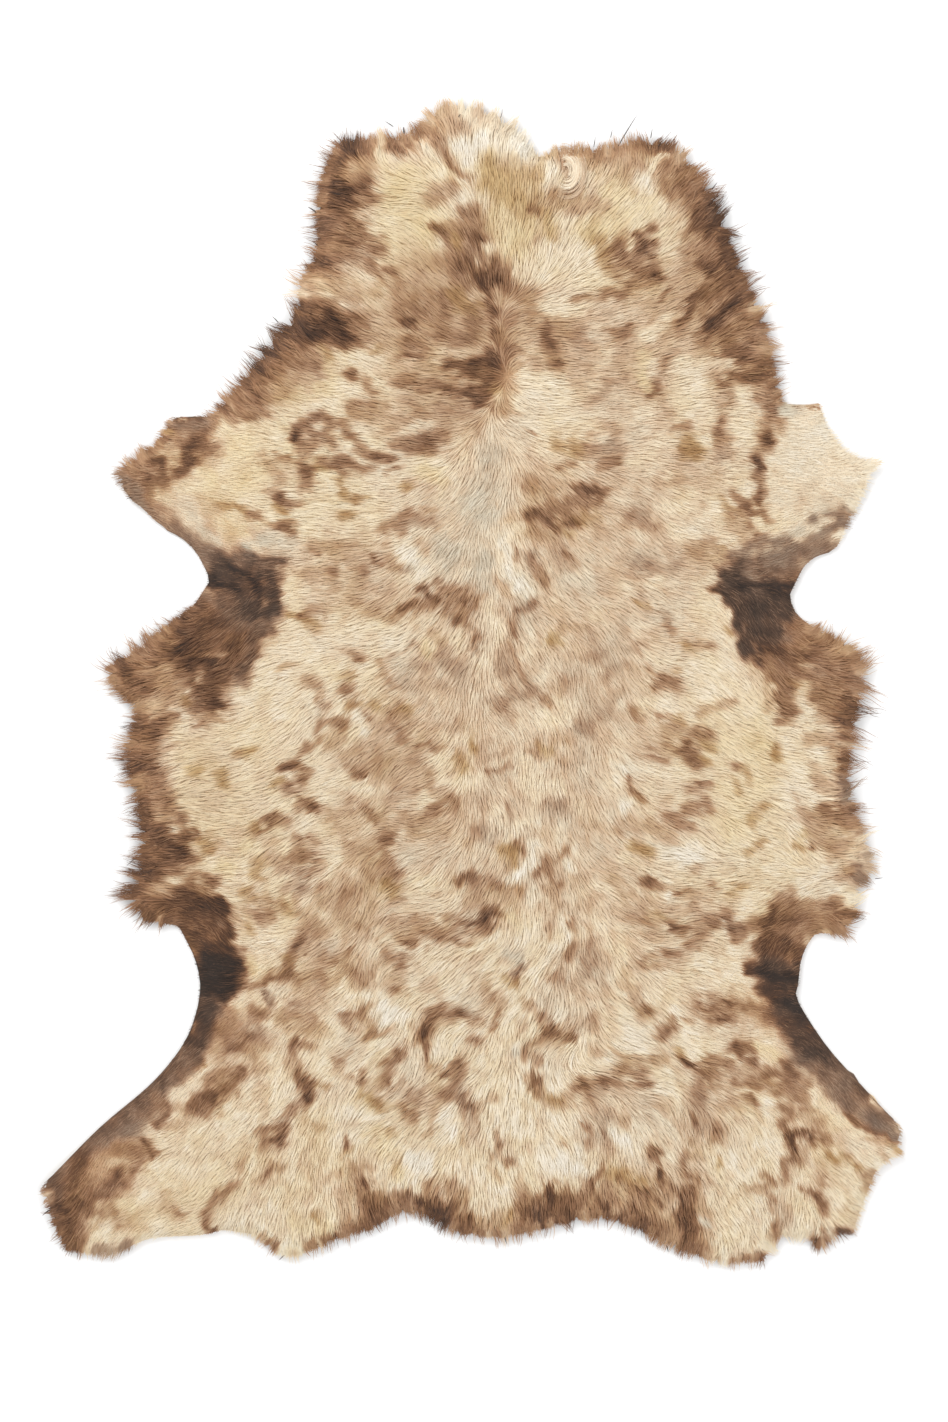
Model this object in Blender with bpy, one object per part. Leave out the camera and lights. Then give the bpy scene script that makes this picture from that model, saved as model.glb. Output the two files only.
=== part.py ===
"""A shearling sheepskin: one tanned hide with its wool on, lying flat with the wool up.

Seen from above, +Y points to the neck and +X to the right of the spine. The hide is one solid: a lumpy slab of
wool on its leather, with locks of wool round the rim and bare cut leather in the notches and along the legs.
"""
import math
import random
from collections import namedtuple

import bmesh
import bpy
from mathutils import Vector, geometry, kdtree, noise

MM = 0.001

# Driving dimensions, in millimetres
SKIN_THICKNESS = 2.0
PILE_HEIGHT = 18.0
SHORTEST_PILE = 4.0
ROLL_WOOLLY = 26.0
ROLL_BARE = 60.0
LUMP_HEIGHT = 5.0
LUMP_LENGTH = 85.0
LUMP_WIDTH = 38.0
HAIR_TURNS_DOWN_FROM = -120.0
HAIR_TURNS_DOWN_TO = -320.0

# Locks round the rim: sizes in millimetres, the rest as shares of a lock's width or length
LOCK_WIDTH = 10.5
LOCK_TIP_HEIGHT = 1.6
SHORTEST_LOCK = 2.5
FULL_LOCK = 10.0
LOCK_WIDTH_SHARES = (0.65, 1.35)
LOCK_LENGTH_SHARES = (0.7, 1.35)
LOCK_WAIST = 0.55
LOCK_WAIST_WIDTH = 0.52
LOCK_LEAN = 0.22
LOCK_BOW = 0.10
EDGE_RISE = 0.45

# Spacing of the mesh points, in millimetres
CURVE_STEP = 2.0
BARE_STEP = 15.0
FURROW_STEP = 12.0
FURROW_ROOM = 6.0
RING_INSET = 9.0
RING_STEP = 14.0
RING_ROOM = 10.0
TOP_SPACING = 20.0
UNDERSIDE_SPACING = 48.0

FLEECE_COLOUR = (0.70, 0.56, 0.38, 1.0)
FLEECE_ROUGHNESS = 0.85
LOCK_SEED = 7


def table(columns, rows):
    """Rows of a table as records with named columns."""
    record = namedtuple("record", columns)
    return [record(*row) for row in rows]


# The edge of the hide, clockwise as seen from above, in millimetres from the middle of the spine. Each stretch is
# one smooth curve, it starts where the one before it ends, and corners lie only between stretches.
# across: to the right, along: towards the neck, reach: how far the locks stand out, 0 where the leather is bare.
EDGE_COLUMNS = "across along reach"

LEFT_NECK = table(EDGE_COLUMNS, (
    (-246, 255, 6),
    (-224, 277, 12),
    (-199, 306, 14),
    (-164, 352, 14),
    (-160, 380, 13),
    (-145, 410, 12),
    (-144, 439, 13),
    (-141, 477, 12),
    (-126, 514, 9),
))

NECK_END = table(EDGE_COLUMNS, (
    (-91, 516, 8),
    (-50, 523, 9),
    (-39, 539, 9),
    (-14, 547, 8),
    (18, 539, 10),
    (47, 519, 13),
    (64, 502, 2),
    (81, 507, 6),
    (123, 506, 8),
    (165, 514, 9),
    (192, 509, 9),
))

RIGHT_NECK = table(EDGE_COLUMNS, (
    (218, 477, 13),
    (238, 435, 13),
    (254, 393, 14),
    (272, 355, 13),
    (283, 315, 12),
    (290, 281, 9),
    (297, 268, 4),
))

RIGHT_FORE_FRONT = table(EDGE_COLUMNS, (
    (315, 266, 0),
    (333, 267, 0),
))

RIGHT_FORE_SIDE = table(EDGE_COLUMNS, (
    (338, 248, 4),
    (351, 226, 4),
    (368, 215, 4),
    (392, 214, 5),
))

RIGHT_FORE_TIP = table(EDGE_COLUMNS, (
    (379, 201, 5),
    (371, 180, 5),
    (360, 161, 5),
    (351, 135, 3),
    (343, 126, 0),
))

RIGHT_ARMPIT_FRONT = table(EDGE_COLUMNS, (
    (322, 118, 0),
    (314, 105, 0),
    (309, 96, 0),
))

RIGHT_ARMPIT_BACK = table(EDGE_COLUMNS, (
    (303, 92, 0),
    (305, 78, 0),
    (310, 67, 0),
))

RIGHT_FLANK = table(EDGE_COLUMNS, (
    (327, 53, 7),
    (349, 41, 10),
    (366, 28, 16),
    (370, 4, 16),
    (362, -34, 16),
    (355, -80, 14),
    (361, -118, 14),
    (375, -158, 12),
    (377, -178, 8),
    (363, -195, 6),
    (364, -217, 14),
    (351, -236, 12),
    (328, -238, 0),
))

RIGHT_HIND_NOTCH = table(EDGE_COLUMNS, (
    (318, -253, 0),
    (313, -270, 0),
    (312, -284, 0),
))

RIGHT_HIND_OUTER = table(EDGE_COLUMNS, (
    (308, -288, 0),
    (313, -305, 0),
    (339, -345, 0),
    (371, -381, 0),
    (394, -406, 0),
    (409, -421, 2),
))

RIGHT_HIND_TIP = table(EDGE_COLUMNS, (
    (405, -433, 3),
    (409, -446, 5),
))

RIGHT_HIND_SIDE = table(EDGE_COLUMNS, (
    (389, -458, 4),
    (375, -490, 3),
    (363, -523, 3),
))

RIGHT_HIND_END = table(EDGE_COLUMNS, (
    (345, -524, 6),
    (333, -538, 7),
    (323, -526, 6),
    (305, -523, 8),
    (284, -529, 8),
    (280, -547, 7),
))

RUMP = table(EDGE_COLUMNS, (
    (246, -549, 6),
    (216, -543, 7),
    (180, -526, 7),
    (123, -506, 7),
    (70, -516, 8),
    (28, -524, 8),
    (-10, -520, 8),
    (-39, -505, 7),
    (-67, -501, 6),
    (-94, -516, 7),
    (-129, -527, 7),
    (-162, -541, 7),
    (-183, -541, 7),
    (-202, -526, 5),
    (-237, -520, 0),
))

LEFT_HIND_END = table(EDGE_COLUMNS, (
    (-257, -525, 0),
    (-305, -528, 3),
    (-333, -539, 6),
    (-357, -541, 6),
    (-385, -537, 6),
))

LEFT_HIND_TIP = table(EDGE_COLUMNS, (
    (-394, -517, 7),
    (-400, -495, 7),
    (-409, -479, 3),
))

LEFT_HIND_OUTER = table(EDGE_COLUMNS, (
    (-389, -458, 0),
    (-352, -421, 0),
    (-305, -381, 0),
    (-276, -346, 0),
    (-263, -317, 0),
    (-258, -286, 0),
    (-265, -257, 0),
    (-279, -231, 0),
))

LEFT_FLANK = table(EDGE_COLUMNS, (
    (-300, -225, 10),
    (-319, -210, 16),
    (-316, -188, 17),
    (-309, -169, 14),
    (-314, -105, 14),
    (-324, -74, 14),
    (-321, -48, 14),
    (-317, -24, 6),
    (-333, -6, 13),
    (-343, 15, 12),
    (-314, 32, 12),
    (-291, 53, 9),
    (-267, 72, 5),
    (-257, 86, 0),
))

LEFT_ARMPIT = table(EDGE_COLUMNS, (
    (-249, 94, 0),
    (-253, 109, 0),
    (-267, 132, 0),
    (-295, 151, 0),
    (-312, 167, 0),
    (-327, 178, 0),
))

LEFT_FORE_TIP = table(EDGE_COLUMNS, (
    (-331, 190, 5),
    (-332, 203, 8),
))

LEFT_FORE_SIDE = table(EDGE_COLUMNS, (
    (-313, 217, 8),
    (-295, 232, 7),
    (-286, 253, 3),
))

LEFT_FORE_FRONT = table(EDGE_COLUMNS, (
    (-266, 255, 0),
    (-246, 255, 0),
))

EDGE = (
    LEFT_NECK, NECK_END, RIGHT_NECK,
    RIGHT_FORE_FRONT, RIGHT_FORE_SIDE, RIGHT_FORE_TIP, RIGHT_ARMPIT_FRONT, RIGHT_ARMPIT_BACK,
    RIGHT_FLANK, RIGHT_HIND_NOTCH, RIGHT_HIND_OUTER, RIGHT_HIND_TIP, RIGHT_HIND_SIDE, RIGHT_HIND_END,
    RUMP,
    LEFT_HIND_END, LEFT_HIND_TIP, LEFT_HIND_OUTER,
    LEFT_FLANK, LEFT_ARMPIT, LEFT_FORE_TIP, LEFT_FORE_SIDE, LEFT_FORE_FRONT,
)

# Where the wool is deeper or shorter than on the back, in millimetres
SWELLS = table("across along radius rise", (
    (10, 430, 170, 4),
    (-230, 115, 80, -11),
    (-285, 215, 75, -6),
    (285, 95, 75, -11),
    (345, 195, 85, -8),
    (-240, -290, 90, -12),
    (-345, -440, 110, -8),
    (295, -290, 80, -12),
    (365, -420, 110, -9),
    (-290, -80, 90, 3),
    (325, -90, 80, 3),
    (300, 112, 30, 4),
    (300, -268, 28, 3),
    (20, -420, 180, 2),
))

# Furrows in the wool, in millimetres: two folds at the right, the parting on the spine and the curl on the neck
FURROWS = table("across_1 along_1 across_2 along_2 depth half_width", (
    (309, 96, 238, 97, 5.0, 8),
    (312, -285, 262, -272, 4.5, 8),
    (14, 480, 14, 250, 3.0, 15),
    (14, 250, 12, 70, 2.5, 15),
    (-36, 512, -8, 485, 4.0, 10),
    (-8, 485, 62, 492, 3.5, 10),
))

# Where the leather lifts off the floor: the leg tips curl up a little and the folds pucker, in millimetres
LIFTS = table("across along radius lift", (
    (-322, 184, 60, 4),
    (385, 214, 60, 4),
    (-402, -478, 70, 5),
    (404, -428, 70, 5),
    (308, 98, 40, 3),
    (311, -285, 38, 3),
))

EdgePoint = namedtuple("EdgePoint", "place outward reach")
RimPoint = namedtuple("RimPoint", "place top underside")


def clear_scene():
    for thing in list(bpy.data.objects):
        bpy.data.objects.remove(thing, do_unlink=True)


def blend(low, high, share):
    return low + (high - low) * share


def share_between(value, low, high):
    """How far a value is from low to high, held between 0 and 1."""
    return min(1.0, max(0.0, (value - low) / (high - low)))


def smooth_curve(rows):
    """Points every few millimetres on a Catmull-Rom curve through a stretch's rows, with their reach."""
    places = [Vector((row.across, row.along)) for row in rows]
    guided = [places[0] * 2 - places[1]] + places + [places[-1] * 2 - places[-2]]
    points = []
    for index in range(len(rows) - 1):
        before, start, end, after = guided[index:index + 4]
        count = max(2, math.ceil((end - start).length / CURVE_STEP))
        for step in range(count):
            t = step / count
            place = 0.5 * (
                2 * start
                + (end - before) * t
                + (2 * before - 5 * start + 4 * end - after) * t ** 2
                + (3 * start - before - 3 * end + after) * t ** 3
            )
            points.append((place, blend(rows[index].reach, rows[index + 1].reach, t)))
    points.append((places[-1], rows[-1].reach))
    return points


def edge_stretches():
    """Each stretch as edge points with their outward direction, joined end to start."""
    stretches = []
    last_row = EDGE[-1][-1]
    for stretch in EDGE:
        rows = stretch if stretch is LEFT_NECK else [last_row] + stretch
        curve = smooth_curve(rows)
        points = []
        for index, (place, reach) in enumerate(curve):
            run = curve[min(index + 1, len(curve) - 1)][0] - curve[max(index - 1, 0)][0]
            outward = Vector((-run.y, run.x)).normalized()
            points.append(EdgePoint(place, outward, reach))
        stretches.append(points)
        last_row = stretch[-1]
    return stretches


def lift_at(place):
    """Height of the underside above the floor."""
    lift = 0.0
    for spot in LIFTS:
        away = (place - Vector((spot.across, spot.along))).length / spot.radius
        if away < 1.0:
            lift = max(lift, spot.lift * (1 - away ** 2) ** 2)
    return lift


def edge_height(reach):
    """Thickness at the edge: bare leather, or wool that is deeper where its locks are longer."""
    return SKIN_THICKNESS + EDGE_RISE * reach


def lock(start, end, root, rng):
    """A lock of wool between two points of the edge: it narrows to a tip that lies on the floor."""
    half_width = (end.place - start.place) / 2
    sideways = half_width.normalized()
    length = root.reach * rng.uniform(*LOCK_LENGTH_SHARES)
    lean = sideways * length * rng.uniform(-LOCK_LEAN, LOCK_LEAN)
    bow = sideways * length * rng.uniform(-LOCK_BOW, LOCK_BOW)
    waist = root.place + root.outward * length * LOCK_WAIST + lean * LOCK_WAIST ** 2 + bow
    tip = root.place + root.outward * length + lean
    waist_top = (lift_at(root.place) + edge_height(root.reach) + LOCK_TIP_HEIGHT) / 2
    return [
        RimPoint(waist - half_width * LOCK_WAIST_WIDTH, waist_top, 0.0),
        RimPoint(tip, LOCK_TIP_HEIGHT, 0.0),
        RimPoint(waist + half_width * LOCK_WAIST_WIDTH, waist_top, 0.0),
    ]


def rim_points(stretches):
    """The hide's whole rim: locks side by side where it is woolly, plain points where it is bare."""
    rng = random.Random(LOCK_SEED)
    rim = []
    for points in stretches:
        last = len(points) - 1
        index = 0
        while index < last:
            start = points[index]
            woolly = start.reach >= SHORTEST_LOCK
            width = LOCK_WIDTH * rng.uniform(*LOCK_WIDTH_SHARES) if woolly else BARE_STEP
            following = index
            walked = 0.0
            while following < last and walked < width:
                walked += (points[following + 1].place - points[following].place).length
                following += 1
            if (last - following) * CURVE_STEP < width / 2:
                following = last
            root_lift = lift_at(start.place)
            rim.append(RimPoint(start.place, root_lift + edge_height(start.reach), root_lift))
            if woolly:
                rim.extend(lock(start, points[following], points[(index + following) // 2], rng))
            index = following
    return rim


def furrow_ends(row):
    return Vector((row.across_1, row.along_1)), Vector((row.across_2, row.along_2))


def furrow_depth(place):
    depth = 0.0
    for row in FURROWS:
        start, end = furrow_ends(row)
        run = end - start
        nearest = start + run * share_between((place - start).dot(run), 0, run.length_squared)
        away = (place - nearest).length / row.half_width
        if away < 1.0:
            depth = max(depth, row.depth * (1 - away ** 2) ** 2)
    return depth


def lump_at(place):
    """Tufts drawn out along the hair: sideways on the back, down towards the rump."""
    sideways = noise.noise(Vector((place.x / LUMP_LENGTH, place.y / LUMP_WIDTH, 0.3)))
    downward = noise.noise(Vector((place.x / LUMP_WIDTH, place.y / LUMP_LENGTH, 4.7)))
    return LUMP_HEIGHT * blend(
        sideways, downward, share_between(place.y, HAIR_TURNS_DOWN_FROM, HAIR_TURNS_DOWN_TO)
    )


def pile_at(place):
    """Height of the wool's surface above the leather's underside, away from the edge."""
    height = SKIN_THICKNESS + PILE_HEIGHT
    for swell in SWELLS:
        away = (place - Vector((swell.across, swell.along))).length / swell.radius
        height += swell.rise * math.exp(-1.5 * away ** 2)
    return max(height, SKIN_THICKNESS + SHORTEST_PILE) + lump_at(place)


def wool_top(place, edge):
    """Height of the wool's surface above the floor: it rolls up from the edge to the pile of that place."""
    point, distance = edge.nearest(place)
    roll = blend(ROLL_BARE, ROLL_WOOLLY, share_between(point.reach, 0, FULL_LOCK))
    inward = share_between(distance, 0, roll)
    height = blend(edge_height(point.reach), pile_at(place), math.sqrt(1 - (1 - inward) ** 2))
    depth = min(furrow_depth(place), height - SKIN_THICKNESS - 1)
    return lift_at(place) + height - max(0.0, depth)


class Edge:
    """The hide's edge, to look up the nearest point of it."""

    def __init__(self, stretches):
        self.points = [point for stretch in stretches for point in stretch]
        self.tree = kdtree.KDTree(len(self.points))
        for index, point in enumerate(self.points):
            self.tree.insert(point.place.to_3d(), index)
        self.tree.balance()

    def nearest(self, place):
        _, index, distance = self.tree.find(place.to_3d())
        return self.points[index], distance


def furrow_grid():
    """Mesh points along each furrow's bottom and both its brinks, with the room each needs."""
    wanted = []
    for row in FURROWS:
        start, end = furrow_ends(row)
        run = end - start
        side = Vector((-run.y, run.x)).normalized() * row.half_width
        count = round(run.length / FURROW_STEP)
        for step in range(count + 1):
            bottom = start + run * (step / count)
            wanted += [(bottom, FURROW_ROOM), (bottom + side, FURROW_ROOM), (bottom - side, FURROW_ROOM)]
    return wanted


def edge_ring(edge):
    """Mesh points in a ring just inside the edge, with the room each needs."""
    stride = round(RING_STEP / CURVE_STEP)
    return [(point.place - point.outward * RING_INSET, RING_ROOM) for point in edge.points[::stride]]


def even_grid(outline, spacing):
    """Mesh points in an even triangular pattern over the hide's whole box, with the room each needs."""
    row_height = spacing * math.sqrt(3) / 2
    low = Vector((min(place.x for place in outline), min(place.y for place in outline)))
    high = Vector((max(place.x for place in outline), max(place.y for place in outline)))
    wanted = []
    for row in range(math.ceil((high.y - low.y) / row_height)):
        shift = spacing / 2 if row % 2 else 0
        for column in range(math.ceil((high.x - low.x) / spacing)):
            place = Vector((low.x + shift + column * spacing, low.y + row * row_height))
            wanted.append((place, spacing * 0.7))
    return wanted


def with_room(wanted, outline, edge, inset):
    """The wanted points that lie well inside the outline and clear of the points before them."""
    kept = []
    for place, room in wanted:
        if edge.nearest(place)[1] < inset or not is_inside(place, outline):
            continue
        if all((place - other).length_squared >= room ** 2 for other in kept):
            kept.append(place)
    return kept


def is_inside(place, outline):
    crossings = 0
    for start, end in zip(outline, outline[1:] + outline[:1]):
        if (start.y > place.y) != (end.y > place.y):
            cut = start.x + (place.y - start.y) * (end.x - start.x) / (end.y - start.y)
            crossings += place.x < cut
    return crossings % 2 == 1


def triangles(outline, inner):
    """Triangles that fill the outline and use the inner points, as indices into outline + inner."""
    rim_face = [list(range(len(outline)))]
    _, _, faces, origins, _, _ = geometry.delaunay_2d_cdt(outline + inner, [], rim_face, 1, 1e-4)
    return [[origins[corner][0] for corner in face] for face in faces]


def middle_of(outline):
    across = [place.x for place in outline]
    along = [place.y for place in outline]
    return Vector(((min(across) + max(across)) / 2, (min(along) + max(along)) / 2))


def build_sheepskin():
    stretches = edge_stretches()
    edge = Edge(stretches)
    rim = rim_points(stretches)
    outline = [point.place for point in rim]
    middle = middle_of(outline)

    top_wanted = furrow_grid() + edge_ring(edge) + even_grid(outline, TOP_SPACING)
    top_inner = with_room(top_wanted, outline, edge, RING_INSET * 0.75)
    under_inner = with_room(even_grid(outline, UNDERSIDE_SPACING), outline, edge, UNDERSIDE_SPACING / 3)

    body = bmesh.new()

    def corner(place, height):
        return body.verts.new(((place.x - middle.x) * MM, (place.y - middle.y) * MM, height * MM))

    top_rim = [corner(point.place, point.top) for point in rim]
    under_rim = [corner(point.place, point.underside) for point in rim]
    top = top_rim + [corner(place, wool_top(place, edge)) for place in top_inner]
    underside = under_rim + [corner(place, lift_at(place)) for place in under_inner]

    for face in triangles(outline, top_inner):
        body.faces.new([top[index] for index in face])
    for face in triangles(outline, under_inner):
        body.faces.new([underside[index] for index in reversed(face)])
    for index in range(len(rim)):
        following = (index + 1) % len(rim)
        body.faces.new((top_rim[index], top_rim[following], under_rim[following]))
        body.faces.new((top_rim[index], under_rim[following], under_rim[index]))
    bmesh.ops.recalc_face_normals(body, faces=body.faces[:])

    mesh = bpy.data.meshes.new("sheepskin")
    body.to_mesh(mesh)
    body.free()
    mesh.shade_smooth()
    mesh.set_sharp_from_angle(angle=math.radians(40))
    sheepskin = bpy.data.objects.new("sheepskin", mesh)
    bpy.context.scene.collection.objects.link(sheepskin)
    return sheepskin


def fleece_material():
    material = bpy.data.materials.new("fleece")
    material.use_nodes = True
    shader = material.node_tree.nodes["Principled BSDF"]
    shader.inputs["Base Color"].default_value = FLEECE_COLOUR
    shader.inputs["Roughness"].default_value = FLEECE_ROUGHNESS
    shader.inputs["Metallic"].default_value = 0.0
    return material


def main():
    clear_scene()
    sheepskin = build_sheepskin()
    sheepskin.data.materials.append(fleece_material())


main()
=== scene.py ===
import math

import bmesh
import bpy
import numpy as np
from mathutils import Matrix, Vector, kdtree
from mathutils.bvhtree import BVHTree


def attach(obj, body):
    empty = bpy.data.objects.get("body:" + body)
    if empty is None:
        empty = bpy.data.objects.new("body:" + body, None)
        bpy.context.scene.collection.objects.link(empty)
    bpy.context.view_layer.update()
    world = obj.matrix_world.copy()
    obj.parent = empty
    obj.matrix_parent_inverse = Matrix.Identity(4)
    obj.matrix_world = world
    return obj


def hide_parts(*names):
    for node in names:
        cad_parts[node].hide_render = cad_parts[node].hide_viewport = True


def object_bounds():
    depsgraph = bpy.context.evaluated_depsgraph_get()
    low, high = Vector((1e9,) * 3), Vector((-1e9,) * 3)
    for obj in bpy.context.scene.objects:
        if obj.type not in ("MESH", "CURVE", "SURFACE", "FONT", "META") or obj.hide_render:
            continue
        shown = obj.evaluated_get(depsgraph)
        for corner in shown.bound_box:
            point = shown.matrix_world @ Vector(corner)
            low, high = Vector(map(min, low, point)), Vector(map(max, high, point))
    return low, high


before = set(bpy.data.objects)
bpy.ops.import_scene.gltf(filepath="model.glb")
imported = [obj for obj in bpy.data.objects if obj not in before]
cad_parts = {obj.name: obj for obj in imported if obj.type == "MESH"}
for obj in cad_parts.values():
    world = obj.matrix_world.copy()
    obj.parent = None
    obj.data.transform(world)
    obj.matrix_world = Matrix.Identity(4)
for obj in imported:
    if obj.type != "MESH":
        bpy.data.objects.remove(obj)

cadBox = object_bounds()
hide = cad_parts["sheepskin"]
mm = 0.001

# The photograph: its frame in pixels, the size of a pixel on the hide, and the pixel over the origin
photo = {
    "pixelSize": 0.95,  # mm on the hide
    "middleX": 471.6,
    "middleY": 683.3,
    "width": 948,
    "height": 1422,
}


def fromPhoto(x, y):
    return (x - photo["middleX"]) * photo["pixelSize"], (photo["middleY"] - y) * photo["pixelSize"]


def toPhoto(x, y):
    return x / photo["pixelSize"] + photo["middleX"], photo["middleY"] - y / photo["pixelSize"]


def smoothStep(value, low, high):
    t = np.clip((value - low) / (high - low), 0, 1)
    return t * t * (3 - 2 * t)


def mix(a, b, share):
    return a + (b - a) * share


# Smooth random hills, about -1 to 1, the same at every run
noiseTable = np.random.default_rng(11).uniform(0, 2 * math.pi, 4096)


def hills(x, y, size, layer=0, octaves=1):
    total = np.zeros_like(x, dtype=float)
    weight = 1.0
    for octave in range(octaves):
        px, py = x / size, y / size
        ix, iy = np.floor(px).astype(int), np.floor(py).astype(int)
        fx, fy = px - ix, py - iy
        ux, uy = fx * fx * (3 - 2 * fx), fy * fy * (3 - 2 * fy)
        corner = []
        for dx, dy in ((0, 0), (1, 0), (0, 1), (1, 1)):
            # three large primes scatter neighbouring cells over the table
            slot = (ix + dx) * 73856093 ^ (iy + dy) * 19349663 ^ (layer + octave) * 83492791
            angle = noiseTable[slot & (len(noiseTable) - 1)]
            corner.append(np.cos(angle) * (fx - dx) + np.sin(angle) * (fy - dy))
        low = mix(corner[0], corner[1], ux)
        high = mix(corner[2], corner[3], ux)
        total += 1.6 * weight * mix(low, high, uy)
        weight *= 0.5
        size = size * 0.5
    return total


# The hide's edge, in millimetres
edgeSettings = {
    "tipTop": 1.75,  # a lock's tip is thinner than this and lies on the floor
    "tipBottom": 0.05,
    "step": 2.0,
    "rounding": 0.7,  # 0 keeps the runs between two roots straight
    "skinThickness": 2.0,
    "riseOfWool": 0.45,  # how much thicker the edge is for each mm that its locks reach
}


# The hide's shape, read from the frame
def readHide():
    solid = bmesh.new()
    solid.from_mesh(hide.data)
    bmesh.ops.remove_doubles(solid, verts=solid.verts, dist=1e-6)
    solid.normal_update()
    following = {}
    for edge in solid.edges:
        walls = [f for f in edge.link_faces if abs(f.normal.z) < 0.02]
        tops = [f for f in edge.link_faces if f.normal.z > 0.02]
        if len(walls) == 1 and len(tops) == 1:
            a, b = edge.verts
            following.setdefault(a, []).append(b)
            following.setdefault(b, []).append(a)
    floorOf = {}
    for vert in solid.verts:
        key = (round(vert.co.x, 5), round(vert.co.y, 5))
        floorOf[key] = min(floorOf.get(key, 1.0), vert.co.z)
    start = next(iter(following))
    loop = [start]
    last, here = None, start
    while True:
        ways = [v for v in following[here] if v is not last]
        last, here = here, ways[0]
        if here is start:
            break
        loop.append(here)
    rim = []
    for vert in loop:
        floor = floorOf[(round(vert.co.x, 5), round(vert.co.y, 5))]
        rim.append((vert.co.x / mm, vert.co.y / mm, vert.co.z / mm, floor / mm))
    rim = np.array(rim)
    area = np.sum(rim[:, 0] * np.roll(rim[:, 1], -1) - np.roll(rim[:, 0], -1) * rim[:, 1]) / 2
    if area > 0:  # clockwise from above
        rim = rim[::-1]
    # the locks that stand out of the edge are left out of it: their tips and the points beside them
    tip = (rim[:, 2] < edgeSettings["tipTop"]) & (rim[:, 3] < edgeSettings["tipBottom"])
    lockPoint = tip | np.roll(tip, 1) | np.roll(tip, -1)
    roots = rim[~lockPoint]
    tree = BVHTree.FromBMesh(solid)
    solid.free()
    return roots, tree


print("reading the hide from the frame")
rootPoints, hideTree = readHide()
print("  edge points where the wool roots:", len(rootPoints))


# The skin's own edge as a dense smooth line: its outward direction and how far the wool reaches past it
def traceEdge(points):
    count = len(points)
    place, reach = [], []
    thick = points[:, 2] - points[:, 3]
    away = np.clip((thick - edgeSettings["skinThickness"]) / edgeSettings["riseOfWool"], 0, None)
    for i in range(count):
        p0, p1, p2, p3 = (points[(i + k) % count, :2] for k in (-1, 0, 1, 2))
        steps = max(1, int(np.linalg.norm(p2 - p1) / edgeSettings["step"]))
        for s in range(steps):
            t = s / steps
            straight = mix(p1, p2, t)
            curved = 0.5 * (2 * p1 + (p2 - p0) * t + (2 * p0 - 5 * p1 + 4 * p2 - p3) * t ** 2
                            + (3 * p1 - p0 - 3 * p2 + p3) * t ** 3)
            place.append(mix(straight, curved, edgeSettings["rounding"]))
            reach.append(mix(away[i], away[(i + 1) % count], t))
    place, reach = np.array(place), np.array(reach)
    run = np.roll(place, -2, axis=0) - np.roll(place, 2, axis=0)
    run /= np.linalg.norm(run, axis=1)[:, None] + 1e-9
    outward = np.stack([-run[:, 1], run[:, 0]], axis=1)
    return place, outward, reach


edgePlace, edgeOutward, edgeReach = traceEdge(rootPoints)

# One map of the hide, on a square grid from above, that every piece reads
mapSettings = {
    "step": 3.0,
    "margin": 60.0,
    "smoothing": 6.5,
    "smoothBand": (3.0, 18.0),  # mm inside the edge, over which the smoothed heights take over
    "outwardBlur": 4.0,
    "reachBlur": 6.0,
    "tuftRelief": 1.5,  # mm, lumps of the wool's surface
    "tuftSize": 30.0,
    "tuftBand": (6.0, 26.0),
    "calmRelief": 0.5,  # share of the lumps that the neck and back keep
    "calmBand": (-60.0, 180.0),  # mm towards the rump, over which the lumps grow to their full height
    "leastPile": (4.0, 9.0),
}
gridLow = np.array([cadBox[0].x, cadBox[0].y]) / mm - mapSettings["margin"]
gridHigh = np.array([cadBox[1].x, cadBox[1].y]) / mm + mapSettings["margin"]
gridX = np.arange(gridLow[0], gridHigh[0], mapSettings["step"])
gridY = np.arange(gridLow[1], gridHigh[1], mapSettings["step"])
mapX, mapY = np.meshgrid(gridX, gridY)


def readMap(field, x, y):
    fx = np.clip((x - gridLow[0]) / mapSettings["step"], 0, len(gridX) - 1.001)
    fy = np.clip((y - gridLow[1]) / mapSettings["step"], 0, len(gridY) - 1.001)
    ix, iy = fx.astype(int), fy.astype(int)
    sx, sy = fx - ix, fy - iy
    low = mix(field[iy, ix], field[iy, ix + 1], sx)
    high = mix(field[iy + 1, ix], field[iy + 1, ix + 1], sx)
    return mix(low, high, sy)


def insideEdge():
    inside = np.zeros(mapX.shape, dtype=bool)
    nextPlace = np.roll(edgePlace, -1, axis=0)
    for row, y in enumerate(gridY):
        crosses = (edgePlace[:, 1] > y) != (nextPlace[:, 1] > y)
        a, b = edgePlace[crosses], nextPlace[crosses]
        cut = a[:, 0] + (y - a[:, 1]) * (b[:, 0] - a[:, 0]) / (b[:, 1] - a[:, 1])
        inside[row] = (cut[None, :] > gridX[:, None]).sum(axis=1) % 2 == 1
    return inside


def blurred(field, weight, size):
    reach = int(3 * size / mapSettings["step"])
    taps = np.exp(-0.5 * (np.arange(-reach, reach + 1) * mapSettings["step"] / size) ** 2)
    top, bottom = field * weight, weight.astype(float)
    for axis in (0, 1):
        sumTop, sumBottom = np.zeros_like(top), np.zeros_like(bottom)
        for k, tap in zip(range(-reach, reach + 1), taps):
            sumTop += tap * np.roll(top, k, axis=axis)
            sumBottom += tap * np.roll(bottom, k, axis=axis)
        top, bottom = sumTop, sumBottom
    return top / np.maximum(bottom, 1e-6)


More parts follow.
